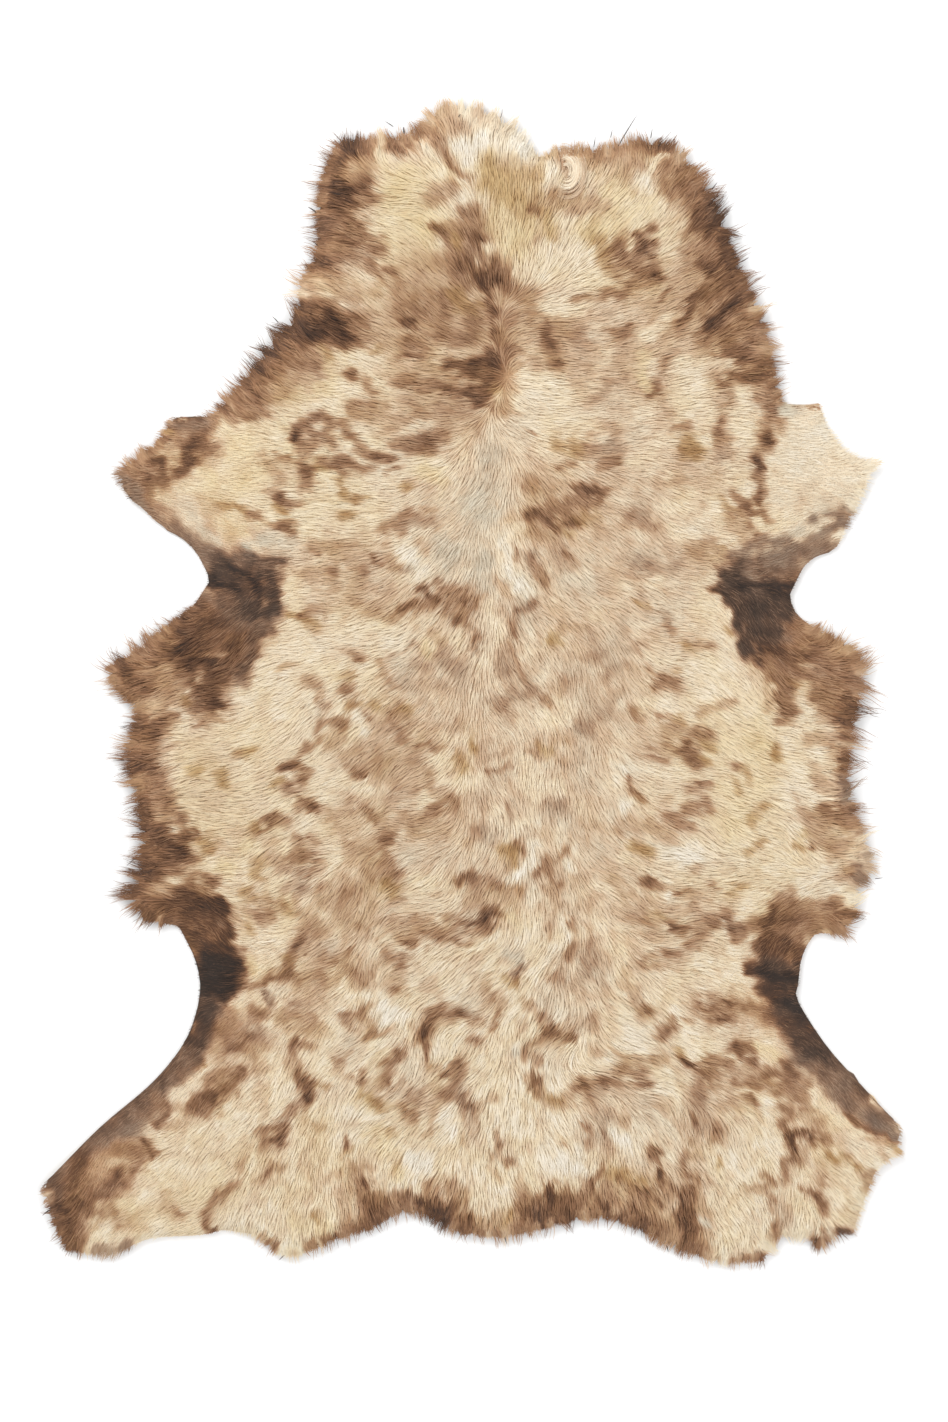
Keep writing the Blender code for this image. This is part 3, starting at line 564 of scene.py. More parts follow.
# Patches with a clearer edge: tone, points x y in order, half width
patches = (
    # neck, left
    ("brown", 350, 150, 345, 190, 340, 225, 335, 255, 24), ("brown", 322, 225, 316, 262, 306, 274, 14),
    ("dark", 344, 146, 352, 152, 9), ("umber", 338, 160, 342, 190, 336, 205, 12),
    ("dark", 340, 190, 348, 198, 9), ("umber", 352, 186, 364, 190, 9),
    ("umber", 330, 225, 334, 232, 10), ("dark", 350, 238, 360, 233, 8),
    ("umber", 322, 262, 312, 270, 8), ("tan", 352, 170, 350, 176, 9), ("brown", 358, 246, 376, 252, 9),
    ("brown", 368, 262, 378, 274, 384, 282, 5), ("umber", 388, 267, 394, 270, 4),
    ("brown", 358, 140, 372, 138, 4), ("brown", 383, 139, 398, 143, 412, 136, 6),
    ("umber", 400, 138, 408, 134, 416, 131, 5), ("dark", 403, 128, 404, 133, 4),
    ("shell", 392, 156, 420, 150, 10), ("brown", 426, 126, 436, 132, 9),
    ("brown", 438, 136, 446, 150, 452, 164, 6), ("umber", 450, 165, 462, 175, 474, 178, 2),
    ("white", 462, 140, 470, 160, 12), ("ochre", 452, 180, 460, 186, 5),
    ("brown", 440, 199, 448, 198, 4), ("brown", 464, 212, 472, 208, 5),
    ("brown", 448, 232, 472, 230, 12), ("umber", 436, 230, 446, 235, 4),
    ("brown", 452, 250, 472, 252, 14), ("ochre", 455, 240, 460, 246, 6),
    ("brown", 450, 272, 470, 282, 15), ("umber", 462, 270, 472, 276, 6),
    ("tan", 415, 275, 430, 290, 22), ("tan", 322, 285, 345, 292, 12), ("shell", 352, 276, 362, 282, 9),
    # neck, middle and right
    ("white", 480, 135, 520, 150, 20), ("shell", 500, 130, 500, 118, 12),
    ("olive", 490, 175, 540, 180, 15), ("olive", 505, 200, 530, 208, 15),
    ("butter", 492, 225, 520, 240, 15), ("white", 553, 166, 550, 186, 8),
    ("shell", 556, 188, 565, 196, 8), ("plum", 566, 150, 577, 166, 578, 184, 570, 198, 6),
    ("brown", 548, 199, 576, 198, 4), ("brown", 578, 196, 580, 212, 5),
    ("umber", 536, 212, 546, 206, 550, 212, 7), ("plum", 560, 216, 575, 212, 6),
    ("tan", 543, 226, 556, 236, 8), ("brown", 534, 243, 550, 243, 3), ("brown", 474, 218, 484, 236, 12),
    ("umber", 474, 240, 486, 238, 4), ("brown", 474, 256, 486, 258, 8), ("dark", 478, 280, 488, 284, 9),
    ("umber", 486, 272, 504, 274, 10), ("brown", 506, 285, 520, 290, 6),
    ("butter", 498, 222, 508, 248, 518, 256, 11), ("cream", 560, 232, 545, 262, 590, 270, 20),
    ("olive", 592, 222, 604, 246, 10), ("butter", 604, 196, 598, 222, 16),
    ("brown", 566, 148, 584, 152, 6), ("plum", 590, 156, 615, 158, 7), ("brown", 622, 152, 640, 150, 9),
    ("umber", 626, 156, 630, 158, 5), ("umber", 658, 138, 672, 146, 7), ("dark", 650, 144, 670, 142, 6),
    ("shell", 590, 170, 592, 190, 10), ("brown", 664, 172, 672, 190, 670, 208, 11),
    ("brown", 680, 165, 690, 185, 11), ("umber", 684, 178, 690, 200, 9),
    ("white", 640, 180, 646, 192, 9), ("butter", 620, 200, 650, 210, 12),
    ("cream", 640, 215, 680, 218, 12), ("umber", 640, 234, 652, 232, 5),
    ("brown", 644, 240, 640, 258, 6), ("umber", 620, 244, 622, 258, 8),
    ("brown", 616, 264, 645, 264, 11), ("dark", 648, 246, 652, 254, 5),
    ("umber", 655, 250, 668, 246, 3), ("brown", 628, 282, 655, 276, 9),
    ("umber", 656, 278, 664, 280, 4), ("ochre", 602, 250, 608, 262, 8),
    ("cream", 668, 250, 684, 262, 12), ("tan", 690, 255, 688, 275, 10),
    # right edge of the neck
    ("brown", 700, 185, 706, 215, 716, 250, 730, 282, 18), ("umber", 702, 210, 706, 232, 9),
    ("dark", 710, 200, 717, 225, 722, 242, 6), ("dark", 724, 256, 732, 268, 7),
    ("umber", 735, 280, 742, 290, 8), ("tan", 692, 242, 694, 258, 8), ("umber", 692, 222, 704, 224, 5),
    # left shoulder
    ("umber", 300, 322, 322, 326, 17), ("dark", 312, 326, 334, 334, 12),
    ("dark", 328, 318, 345, 340, 6), ("umber", 346, 336, 356, 342, 6), ("umber", 322, 344, 330, 348, 7),
    ("umber", 300, 306, 310, 312, 9), ("brown", 288, 316, 292, 330, 8),
    ("dark", 276, 344, 258, 372, 11), ("umber", 286, 342, 300, 350, 11),
    ("brown", 278, 368, 292, 358, 12), ("dark", 262, 376, 250, 392, 9), ("tan", 288, 378, 276, 392, 10),
    ("brown", 250, 404, 262, 414, 9), ("butter", 325, 352, 318, 384, 14),
    ("olive", 322, 350, 328, 356, 6), ("butter", 296, 388, 335, 388, 15),
    ("olive", 270, 398, 282, 394, 5), ("shell", 306, 364, 318, 372, 8),
    ("cream", 345, 356, 376, 362, 10), ("ochre", 374, 353, 378, 351, 4),
    ("umber", 344, 374, 352, 378, 5), ("brown", 352, 376, 358, 382, 2),
    ("cream", 342, 390, 352, 396, 10), ("cream", 310, 408, 340, 410, 11),
    ("cream", 366, 366, 374, 382, 384, 390, 7), ("brown", 366, 384, 372, 394, 4),
    ("umber", 365, 394, 362, 402, 3), ("brown", 368, 404, 380, 410, 9),
    ("brown", 352, 408, 354, 414, 6), ("tan", 370, 420, 390, 425, 14),
    ("umber", 296, 433, 306, 428, 320, 421, 330, 424, 6), ("dark", 295, 434, 300, 436, 4),
    ("brown", 330, 428, 332, 444, 5), ("plum", 312, 438, 318, 440, 8), ("brown", 300, 448, 312, 446, 6),
    ("brown", 304, 458, 306, 474, 302, 488, 7), ("umber", 304, 470, 310, 474, 4),
    ("umber", 276, 455, 288, 458, 4), ("tan", 264, 460, 276, 472, 286, 480, 7),
    ("pink", 284, 466, 292, 472, 6), ("brown", 344, 422, 348, 432, 4), ("umber", 346, 438, 352, 439, 4),
    ("brown", 406, 308, 416, 312, 8), ("umber", 404, 322, 414, 324, 4),
    ("umber", 440, 298, 446, 304, 6), ("brown", 444, 308, 446, 318, 5),
    ("ochre", 458, 300, 470, 306, 9), ("brown", 412, 348, 422, 352, 8),
    ("umber", 408, 357, 418, 358, 3), ("umber", 446, 366, 470, 366, 5),
    ("umber", 446, 392, 470, 398, 5), ("brown", 400, 384, 440, 386, 7),
    ("brown", 436, 336, 468, 342, 6), ("cream", 404, 432, 428, 424, 6),
    ("umber", 424, 436, 422, 446, 7), ("brown", 430, 440, 442, 438, 7),
    ("brown", 402, 446, 428, 452, 8), ("umber", 376, 456, 396, 460, 5),
    ("brown", 358, 446, 372, 454, 5), ("umber", 338, 462, 344, 474, 6),
    ("brown", 350, 466, 372, 468, 5), ("ochre", 318, 464, 324, 468, 5),
    ("brown", 322, 462, 336, 466, 4), ("umber", 388, 474, 400, 469, 3),
    ("cream", 420, 462, 440, 460, 8), ("butter", 424, 474, 436, 480, 8),
    ("ochre", 406, 486, 410, 488, 4), ("ochre", 340, 480, 344, 496, 4),
    # neck foot, middle
    ("umber", 490, 298, 493, 340, 5), ("brown", 505, 345, 518, 352, 5),
    ("umber", 546, 326, 552, 344, 6), ("brown", 546, 352, 552, 364, 7),
    ("umber", 550, 368, 558, 366, 3), ("dark", 482, 358, 500, 360, 8),
    ("umber", 476, 372, 492, 380, 10), ("umber", 472, 392, 490, 394, 8),
    ("umber", 472, 406, 486, 403, 5), ("shell", 514, 366, 522, 380, 8),
    ("olive", 498, 386, 510, 392, 6), ("tan", 560, 322, 580, 340, 11), ("brown", 600, 298, 616, 296, 5),
    ("brown", 575, 300, 590, 300, 4), ("cream", 545, 304, 560, 310, 8),
    ("cream", 570, 312, 584, 308, 7), ("umber", 622, 329, 632, 325, 4),
    ("brown", 608, 338, 624, 334, 6), ("shell", 596, 336, 604, 340, 6),
    ("umber", 660, 298, 672, 290, 2), ("brown", 678, 330, 690, 318, 6),
    ("umber", 680, 325, 690, 306, 4), ("umber", 664, 358, 676, 350, 3),
    ("cream", 645, 334, 665, 328, 8), ("brown", 662, 366, 668, 378, 6),
    ("brown", 656, 380, 650, 394, 6), ("umber", 656, 384, 650, 396, 4),
    ("butter", 642, 356, 644, 386, 6), ("cream", 678, 360, 684, 400, 12),
    ("tan", 606, 428, 616, 436, 8), ("brown", 524, 432, 534, 437, 2), ("cream", 555, 398, 585, 428, 15),
    ("cream", 520, 378, 555, 390, 14), ("shell", 500, 430, 515, 436, 12),
    ("ochre", 560, 444, 580, 448, 8), ("umber", 582, 446, 592, 448, 2), ("plum", 592, 450, 620, 448, 9),
    ("brown", 560, 468, 574, 467, 4), ("brown", 598, 468, 618, 460, 4),
    ("umber", 582, 488, 604, 490, 6), ("brown", 674, 428, 688, 426, 4),
    ("ochre", 684, 444, 696, 452, 8),
    # right shoulder and flap
    ("umber", 745, 296, 728, 310, 712, 328, 11), ("dark", 738, 300, 722, 314, 6),
    ("dark", 712, 322, 706, 332, 5), ("umber", 690, 300, 702, 296, 4),
    ("brown", 742, 320, 758, 334, 13), ("umber", 762, 322, 766, 334, 5),
    ("brown", 704, 346, 716, 340, 7), ("umber", 750, 356, 766, 372, 10),
    ("umber", 730, 376, 762, 380, 5), ("umber", 718, 378, 726, 384, 5),
    ("brown", 712, 374, 718, 378, 5), ("ochre", 708, 386, 714, 390, 4),
    ("brown", 768, 386, 775, 405, 768, 425, 766, 444, 760, 456, 7), ("umber", 784, 400, 776, 412, 4),
    ("umber", 764, 434, 768, 440, 5), ("dark", 757, 462, 760, 470, 5), ("brown", 756, 478, 760, 490, 6),
    ("brown", 730, 394, 726, 412, 718, 430, 6), ("brown", 716, 438, 730, 440, 9),
    ("ochre", 692, 448, 700, 452, 8), ("umber", 720, 414, 716, 428, 3), ("plum", 720, 450, 722, 456, 6),
    ("cream", 742, 390, 742, 425, 12), ("cream", 700, 370, 702, 412, 11),
    ("haze", 785, 410, 800, 410, 7),
    # left fore leg
    ("umber", 252, 388, 240, 402, 228, 404, 8), ("umber", 236, 412, 250, 414, 7),
    ("tan", 226, 414, 232, 418, 6), ("brown", 216, 408, 218, 420, 6), ("brown", 206, 426, 218, 424, 6),
    ("taupe", 175, 424, 202, 424, 6), ("plum", 186, 432, 194, 434, 5), ("umber", 198, 440, 190, 456, 9),
    ("umber", 186, 462, 178, 470, 7), ("ochre", 166, 426, 172, 430, 4),
    ("umber", 168, 438, 160, 448, 4), ("umber", 152, 450, 144, 458, 5), ("tan", 176, 442, 160, 458, 7),
    ("brown", 128, 470, 150, 468, 9), ("dark", 157, 468, 164, 474, 7), ("umber", 146, 478, 150, 490, 6),
    ("taupe", 128, 482, 134, 492, 8), ("brown", 168, 478, 160, 484, 4),
    ("butter", 206, 474, 216, 482, 8), ("butter", 236, 455, 242, 480, 14),
    ("plum", 145, 496, 158, 508, 6), ("brown", 146, 490, 152, 502, 7),
    ("taupe", 134, 496, 152, 516, 172, 532, 188, 548, 198, 562, 7), ("plum", 162, 508, 178, 524, 6),
    ("shell", 184, 506, 198, 524, 10), ("haze", 204, 532, 220, 536, 7),
    ("taupe", 174, 528, 196, 546, 210, 560, 8), ("haze", 216, 541, 250, 547, 6),
    ("umber", 204, 502, 216, 507, 5), ("ochre", 218, 502, 238, 506, 252, 518, 4),
    ("tan", 208, 514, 212, 530, 5),
    # left armpit and fan
    ("taupe", 204, 552, 225, 550, 252, 558, 8), ("slate", 216, 558, 240, 557, 264, 565, 8),
    ("slate", 218, 574, 254, 580, 11), ("slate", 226, 593, 260, 597, 11),
    ("slate", 272, 575, 275, 596, 270, 616, 8), ("black", 226, 568, 250, 574, 259, 590, 4),
    ("slate", 244, 612, 260, 614, 10), ("black", 212, 582, 236, 587, 4),
    ("hide", 254, 634, 263, 630, 9), ("hide", 244, 652, 255, 644, 9), ("umber", 212, 606, 232, 620, 12),
    ("umber", 220, 640, 242, 640, 11), ("umber", 220, 664, 238, 670, 9),
    ("umber", 212, 688, 224, 696, 8), ("cream", 293, 600, 289, 626, 275, 658, 259, 686, 242, 712, 6),
    ("taupe", 200, 598, 212, 604, 8), ("brown", 205, 612, 222, 632, 12),
    ("brown", 225, 650, 240, 640, 9), ("umber", 182, 632, 196, 650, 13),
    ("dark", 184, 640, 200, 652, 9), ("brown", 160, 642, 172, 652, 11),
    ("umber", 140, 648, 145, 649, 3), ("tan", 146, 664, 168, 670, 7), ("tan", 162, 684, 174, 686, 7),
    ("brown", 125, 672, 135, 686, 9), ("umber", 114, 662, 122, 664, 4),
    ("umber", 205, 662, 222, 684, 11), ("dark", 208, 672, 226, 674, 8),
    ("umber", 188, 680, 202, 686, 6), ("brown", 235, 655, 226, 676, 8),
    # left of the back, upper
    ("tan", 266, 492, 280, 496, 4), ("umber", 284, 498, 294, 508, 5), ("ochre", 278, 507, 284, 509, 4),
    ("brown", 252, 517, 262, 522, 280, 527, 4), ("umber", 278, 526, 294, 529, 4),
    ("plum", 286, 534, 296, 534, 3), ("haze", 262, 540, 290, 545, 8), ("pink", 290, 552, 305, 556, 10),
    ("brown", 312, 549, 319, 554, 4), ("tan", 318, 546, 330, 546, 6), ("tan", 340, 550, 350, 553, 9),
    ("tan", 306, 570, 335, 575, 8), ("brown", 322, 566, 334, 573, 4), ("tan", 322, 586, 338, 586, 3),
    ("tan", 348, 562, 358, 570, 360, 584, 5), ("brown", 361, 566, 364, 572, 3),
    ("tan", 355, 590, 362, 604, 372, 612, 7), ("brown", 374, 618, 390, 620, 402, 612, 412, 606, 4),
    ("umber", 400, 606, 407, 607, 4), ("umber", 371, 556, 377, 561, 2), ("tan", 388, 546, 393, 554, 5),
    ("tan", 384, 560, 398, 566, 6), ("taupe", 402, 572, 413, 566, 4), ("brown", 400, 516, 412, 512, 5),
    ("brown", 406, 519, 416, 521, 6), ("brown", 386, 528, 400, 530, 6), ("plum", 402, 526, 436, 526, 5),
    ("tan", 424, 508, 434, 512, 4), ("ochre", 342, 492, 347, 497, 4), ("ochre", 354, 500, 366, 499, 3),
    ("ochre", 345, 516, 352, 515, 4), ("tan", 414, 544, 424, 552, 6),
    ("white", 404, 548, 412, 560, 424, 576, 8), ("haze", 440, 545, 450, 560, 10),
    ("brown", 436, 590, 466, 594, 9), ("umber", 422, 590, 430, 597, 4),
    ("umber", 434, 598, 442, 600, 5), ("umber", 464, 601, 476, 600, 4),
    ("brown", 448, 608, 462, 616, 8), ("umber", 454, 619, 462, 618, 3),
    ("brown", 415, 611, 432, 607, 5), ("tan", 411, 622, 416, 630, 4), ("ochre", 289, 616, 299, 617, 5),
    ("umber", 301, 617, 305, 621, 4), ("tan", 310, 613, 322, 608, 6), ("ochre", 308, 626, 320, 632, 5),
    ("brown", 326, 612, 328, 622, 2), ("tan", 334, 642, 337, 656, 3), ("brown", 348, 651, 358, 658, 5),
    ("umber", 359, 660, 362, 661, 3), ("ochre", 281, 669, 291, 663, 4),
    ("brown", 308, 680, 320, 684, 6), ("ochre", 344, 675, 349, 678, 4),
    ("brown", 343, 686, 348, 692, 3), ("plum", 392, 657, 404, 651, 416, 646, 424, 654, 3),
    ("brown", 382, 662, 386, 674, 393, 684, 402, 688, 4), ("shell", 398, 664, 408, 672, 8),
    ("plum", 418, 663, 434, 669, 5), ("tan", 430, 634, 442, 643, 4), ("butter", 428, 650, 434, 658, 6),
    ("plum", 446, 658, 460, 672, 10), ("cream", 340, 630, 395, 634, 14),
    ("cream", 300, 650, 330, 660, 18), ("plum", 405, 684, 436, 684, 6),
    # middle and right of the back, upper
    ("umber", 584, 492, 604, 492, 6), ("brown", 568, 504, 588, 506, 9),
    ("brown", 544, 508, 560, 516, 9), ("umber", 528, 514, 546, 520, 7),
    ("umber", 556, 528, 574, 522, 5), ("dark", 546, 521, 554, 521, 2), ("ochre", 566, 532, 574, 534, 5),
    ("ochre", 584, 518, 596, 516, 6), ("tan", 534, 532, 550, 540, 8), ("plum", 634, 518, 654, 524, 11),
    ("cream", 674, 506, 684, 530, 13), ("umber", 515, 550, 516, 559, 4),
    ("plum", 524, 556, 534, 562, 6), ("brown", 532, 564, 541, 578, 6), ("plum", 554, 562, 568, 570, 9),
    ("brown", 566, 558, 574, 562, 3), ("white", 505, 546, 508, 562, 514, 578, 526, 590, 7),
    ("haze", 486, 562, 476, 574, 8), ("haze", 484, 500, 492, 520, 10),
    ("shell", 566, 586, 590, 586, 10), ("tan", 499, 585, 504, 592, 509, 597, 4),
    ("tan", 472, 594, 482, 598, 5), ("brown", 532, 600, 520, 608, 512, 618, 510, 632, 4),
    ("umber", 513, 632, 515, 637, 3), ("brown", 508, 644, 514, 658, 520, 670, 530, 688, 2),
    ("cream", 490, 606, 496, 622, 494, 640, 487, 656, 7), ("umber", 476, 638, 484, 636, 4),
    ("brown", 474, 648, 478, 654, 3), ("tan", 560, 629, 582, 625, 5), ("ochre", 552, 640, 562, 646, 4),
    ("ochre", 636, 600, 650, 606, 4), ("plum", 632, 568, 646, 566, 6), ("plum", 656, 572, 680, 566, 5),
    ("brown", 664, 624, 670, 632, 5), ("plum", 588, 659, 606, 654, 5), ("plum", 600, 664, 610, 674, 7),
    ("plum", 626, 656, 640, 648, 6), ("cream", 650, 656, 672, 660, 7),
    ("brown", 646, 668, 660, 676, 680, 682, 4), ("ochre", 672, 674, 677, 668, 3),
    ("brown", 656, 687, 680, 688, 5), ("ochre", 684, 646, 692, 650, 5),
    ("plum", 508, 664, 512, 684, 12), ("brown", 734, 494, 746, 502, 5),
    ("umber", 758, 492, 757, 504, 764, 516, 5), ("umber", 746, 508, 758, 511, 5),
    ("brown", 745, 520, 756, 534, 4), ("brown", 752, 539, 760, 538, 3),
    ("ochre", 722, 500, 734, 512, 6), ("tan", 700, 545, 716, 548, 6), ("ochre", 720, 546, 724, 546, 3),
    ("tan", 700, 556, 730, 560, 12), ("brown", 698, 646, 711, 649, 5), ("ochre", 725, 628, 730, 632, 4),
    ("cream", 700, 672, 748, 690, 20),
    # right armpit
    ("shell", 800, 500, 840, 498, 14), ("haze", 775, 540, 800, 530, 6),
    ("taupe", 748, 568, 786, 564, 12), ("taupe", 790, 558, 828, 545, 9),
    ("taupe", 812, 520, 848, 513, 5), ("brown", 836, 532, 844, 520, 5),
    ("slate", 726, 572, 742, 566, 9), ("slate", 724, 588, 734, 590, 7),
    ("slate", 744, 598, 784, 599, 11), ("black", 770, 592, 788, 594, 5),
    # painted shade: the black line along the fold
    ("black", 734, 584, 792, 584, 3.5), ("dark", 714, 592, 734, 594, 3),
    ("slate", 745, 614, 780, 616, 10), ("slate", 746, 634, 766, 636, 9),
    ("slate", 753, 652, 762, 650, 7), ("umber", 770, 640, 776, 652, 8),
    ("cream", 710, 606, 720, 642, 736, 676, 752, 708, 6), ("dark", 770, 626, 774, 644, 8),
    ("black", 790, 596, 794, 608, 5), ("brown", 794, 630, 800, 654, 14),
    ("umber", 778, 656, 784, 672, 10), ("umber", 806, 640, 816, 646, 3),
    ("brown", 830, 652, 850, 660, 12), ("umber", 846, 682, 856, 680, 5),
    ("ochre", 788, 682, 800, 686, 7), ("tan", 818, 684, 834, 688, 6),
    # left flank
    ("umber", 200, 694, 226, 698, 11), ("dark", 214, 710, 224, 700, 8),
    ("umber", 204, 722, 198, 728, 5), ("brown", 130, 694, 150, 694, 14), ("tan", 148, 704, 172, 704, 8),
    ("ochre", 184, 698, 190, 704, 4), ("brown", 132, 724, 160, 728, 12),
    ("umber", 164, 718, 176, 717, 4), ("dark", 122, 724, 130, 724, 4),
    ("brown", 138, 744, 156, 744, 12), ("umber", 124, 764, 148, 764, 8),
    ("dark", 134, 772, 144, 774, 5), ("brown", 138, 786, 160, 788, 9), ("umber", 158, 798, 172, 797, 3),
    ("brown", 142, 806, 164, 808, 12), ("brown", 160, 820, 176, 822, 8),
    ("umber", 148, 828, 156, 846, 11), ("umber", 184, 834, 194, 830, 200, 836, 3),
    ("umber", 164, 839, 190, 838, 3), ("ochre", 204, 842, 208, 850, 5),
    ("umber", 160, 846, 186, 854, 9), ("dark", 172, 850, 184, 853, 6), ("umber", 146, 864, 180, 860, 8),
    ("dark", 130, 886, 152, 874, 8), ("umber", 192, 880, 214, 880, 5), ("brown", 172, 890, 205, 889, 5),
    ("ochre", 220, 776, 224, 784, 5), ("ochre", 238, 753, 250, 752, 4),
    ("olive", 192, 768, 196, 772, 4), ("butter", 218, 866, 228, 872, 8),
    ("cream", 240, 690, 248, 730, 14),
    # left of the back, middle
    ("ochre", 250, 756, 255, 752, 4), ("dark", 288, 768, 296, 762, 6), ("brown", 298, 758, 306, 750, 5),
    ("brown", 302, 766, 308, 768, 4), ("ochre", 274, 785, 288, 784, 4),
    ("umber", 294, 786, 301, 782, 5), ("plum", 290, 794, 300, 790, 5), ("umber", 302, 804, 308, 806, 6),
    ("umber", 310, 812, 315, 811, 3), ("umber", 266, 818, 272, 816, 5),
    ("brown", 272, 824, 284, 822, 5), ("ochre", 256, 822, 260, 830, 5),
    ("brown", 264, 830, 270, 828, 3), ("umber", 310, 838, 317, 842, 4), ("plum", 300, 853, 314, 852, 8),
    ("brown", 290, 856, 300, 860, 5), ("umber", 314, 860, 322, 862, 3), ("plum", 284, 872, 304, 868, 6),
    ("umber", 304, 874, 313, 868, 5), ("plum", 292, 886, 302, 890, 8), ("ochre", 260, 864, 262, 876, 6),
    ("butter", 252, 846, 266, 852, 7), ("cream", 326, 842, 330, 872, 11),
    ("brown", 318, 696, 323, 700, 3), ("tan", 324, 702, 330, 706, 4), ("brown", 344, 690, 350, 694, 4),
    ("brown", 317, 740, 319, 728, 330, 721, 344, 722, 347, 729, 4), ("ochre", 350, 708, 360, 700, 5),
    ("ochre", 366, 702, 376, 706, 6), ("umber", 365, 716, 369, 719, 3),
    ("white", 354, 718, 362, 730, 6), ("brown", 346, 769, 356, 774, 5),
    ("umber", 356, 776, 366, 778, 3), ("brown", 372, 783, 378, 788, 3),
    ("brown", 376, 754, 382, 764, 5), ("tan", 364, 756, 390, 768, 11),
    ("cream", 326, 778, 346, 780, 362, 792, 374, 790, 6), ("brown", 394, 724, 398, 736, 6),
    ("ochre", 405, 708, 411, 709, 5), ("umber", 417, 743, 430, 742, 3),
    ("umber", 434, 748, 441, 748, 3), ("plum", 450, 736, 457, 724, 5), ("cream", 446, 742, 462, 744, 8),
    ("cream", 442, 762, 436, 778, 452, 788, 468, 784, 9), ("ochre", 458, 760, 466, 766, 6),
    ("brown", 369, 806, 373, 820, 5), ("cream", 418, 806, 432, 806, 6),
    ("brown", 444, 802, 452, 800, 6), ("brown", 440, 808, 428, 818, 5), ("tan", 420, 822, 442, 828, 8),
    ("brown", 396, 828, 388, 836, 6), ("umber", 384, 842, 392, 843, 6),
    ("brown", 390, 854, 387, 866, 5), ("brown", 386, 872, 402, 873, 5),
    ("ochre", 388, 884, 394, 890, 7), ("shell", 402, 846, 410, 860, 8),
    ("brown", 344, 886, 352, 890, 5), ("cream", 408, 884, 440, 884, 7),
    ("umber", 458, 881, 470, 876, 4), ("tan", 330, 812, 338, 818, 5),
    # middle of the back
    ("plum", 484, 700, 504, 706, 6), ("plum", 514, 698, 534, 690, 5), ("brown", 540, 698, 549, 707, 4),
    ("cream", 569, 706, 572, 716, 6), ("cream", 530, 720, 560, 724, 10),
    ("plum", 568, 730, 582, 727, 6), ("plum", 594, 724, 606, 718, 6), ("ochre", 538, 746, 546, 750, 5),
    ("brown", 532, 755, 538, 756, 4), ("tan", 555, 740, 568, 742, 6), ("tan", 562, 762, 568, 764, 4),
    ("plum", 484, 752, 489, 744, 6), ("plum", 504, 752, 512, 757, 4), ("ochre", 472, 744, 474, 750, 5),
    ("cream", 470, 786, 482, 774, 496, 762, 510, 758, 5), ("brown", 488, 771, 500, 768, 512, 762, 3),
    ("cream", 528, 770, 550, 790, 13), ("white", 619, 770, 628, 765, 6),
    ("white", 615, 780, 618, 786, 4), ("white", 624, 802, 629, 810, 6),
    ("white", 621, 828, 625, 840, 6), ("umber", 629, 785, 632, 794, 4),
    ("brown", 638, 796, 642, 798, 3), ("brown", 632, 708, 640, 714, 4),
    ("cream", 650, 706, 690, 704, 8), ("brown", 658, 721, 668, 716, 3),
    ("ochre", 678, 718, 683, 726, 5), ("tan", 666, 732, 692, 730, 6), ("tan", 650, 746, 680, 750, 7),
    ("brown", 655, 757, 668, 760, 4), ("umber", 684, 744, 690, 752, 6),
    ("cream", 642, 768, 680, 772, 6), ("brown", 662, 818, 684, 814, 4),
    ("umber", 668, 832, 680, 825, 6), ("plum", 662, 840, 668, 836, 5),
    ("white", 660, 852, 690, 856, 12), ("cream", 658, 870, 690, 880, 9),
    ("ochre", 634, 846, 646, 852, 6), ("umber", 644, 878, 650, 886, 4),
    ("brown", 654, 888, 660, 889, 4), ("plum", 507, 806, 513, 818, 4),
    ("cream", 522, 820, 514, 832, 502, 842, 494, 856, 5), ("ochre", 508, 850, 514, 862, 8),
    ("umber", 524, 848, 525, 856, 3), ("brown", 516, 842, 522, 838, 2),
    ("white", 533, 846, 534, 860, 527, 871, 512, 879, 6), ("umber", 536, 874, 542, 870, 4),
    ("brown", 546, 864, 552, 880, 6), ("brown", 560, 858, 565, 850, 4),
    ("white", 566, 864, 570, 871, 5), ("white", 576, 848, 578, 852, 3),
    ("umber", 470, 874, 476, 880, 5), ("umber", 478, 888, 496, 891, 7),
    ("ochre", 514, 886, 522, 889, 4), ("plum", 550, 808, 560, 808, 6), ("plum", 482, 826, 488, 834, 8),
    ("shell", 598, 846, 610, 858, 10),
    # right of the back and right flank
    ("tan", 700, 713, 714, 705, 732, 702, 5), ("brown", 692, 732, 704, 738, 8),
    ("ochre", 704, 746, 713, 752, 5), ("brown", 690, 752, 696, 766, 8),
    ("ochre", 704, 760, 709, 764, 4), ("umber", 698, 783, 708, 784, 3), ("tan", 694, 790, 702, 794, 8),
    ("brown", 698, 804, 707, 805, 6), ("brown", 688, 812, 696, 816, 7),
    ("brown", 689, 825, 693, 824, 4), ("umber", 774, 698, 783, 714, 6),
    ("brown", 784, 698, 787, 714, 8), ("brown", 778, 722, 788, 721, 4),
    ("ochre", 784, 690, 794, 694, 4), ("tan", 764, 704, 768, 708, 4), ("umber", 736, 768, 739, 766, 4),
    ("ochre", 744, 770, 748, 776, 5), ("ochre", 736, 782, 738, 794, 3),
    ("butter", 735, 742, 752, 752, 14), ("ochre", 776, 750, 778, 760, 4),
    ("umber", 792, 790, 800, 798, 2), ("ochre", 750, 820, 758, 811, 766, 806, 4),
    ("ochre", 748, 851, 756, 845, 761, 841, 4), ("ochre", 794, 847, 802, 845, 4),
    ("umber", 808, 848, 816, 844, 2), ("olive", 801, 838, 805, 828, 3),
    ("brown", 826, 696, 852, 698, 11), ("dark", 834, 720, 844, 726, 5), ("tan", 815, 735, 838, 742, 10),
    ("umber", 844, 742, 850, 756, 7), ("umber", 842, 762, 846, 770, 6), ("tan", 818, 776, 836, 790, 10),
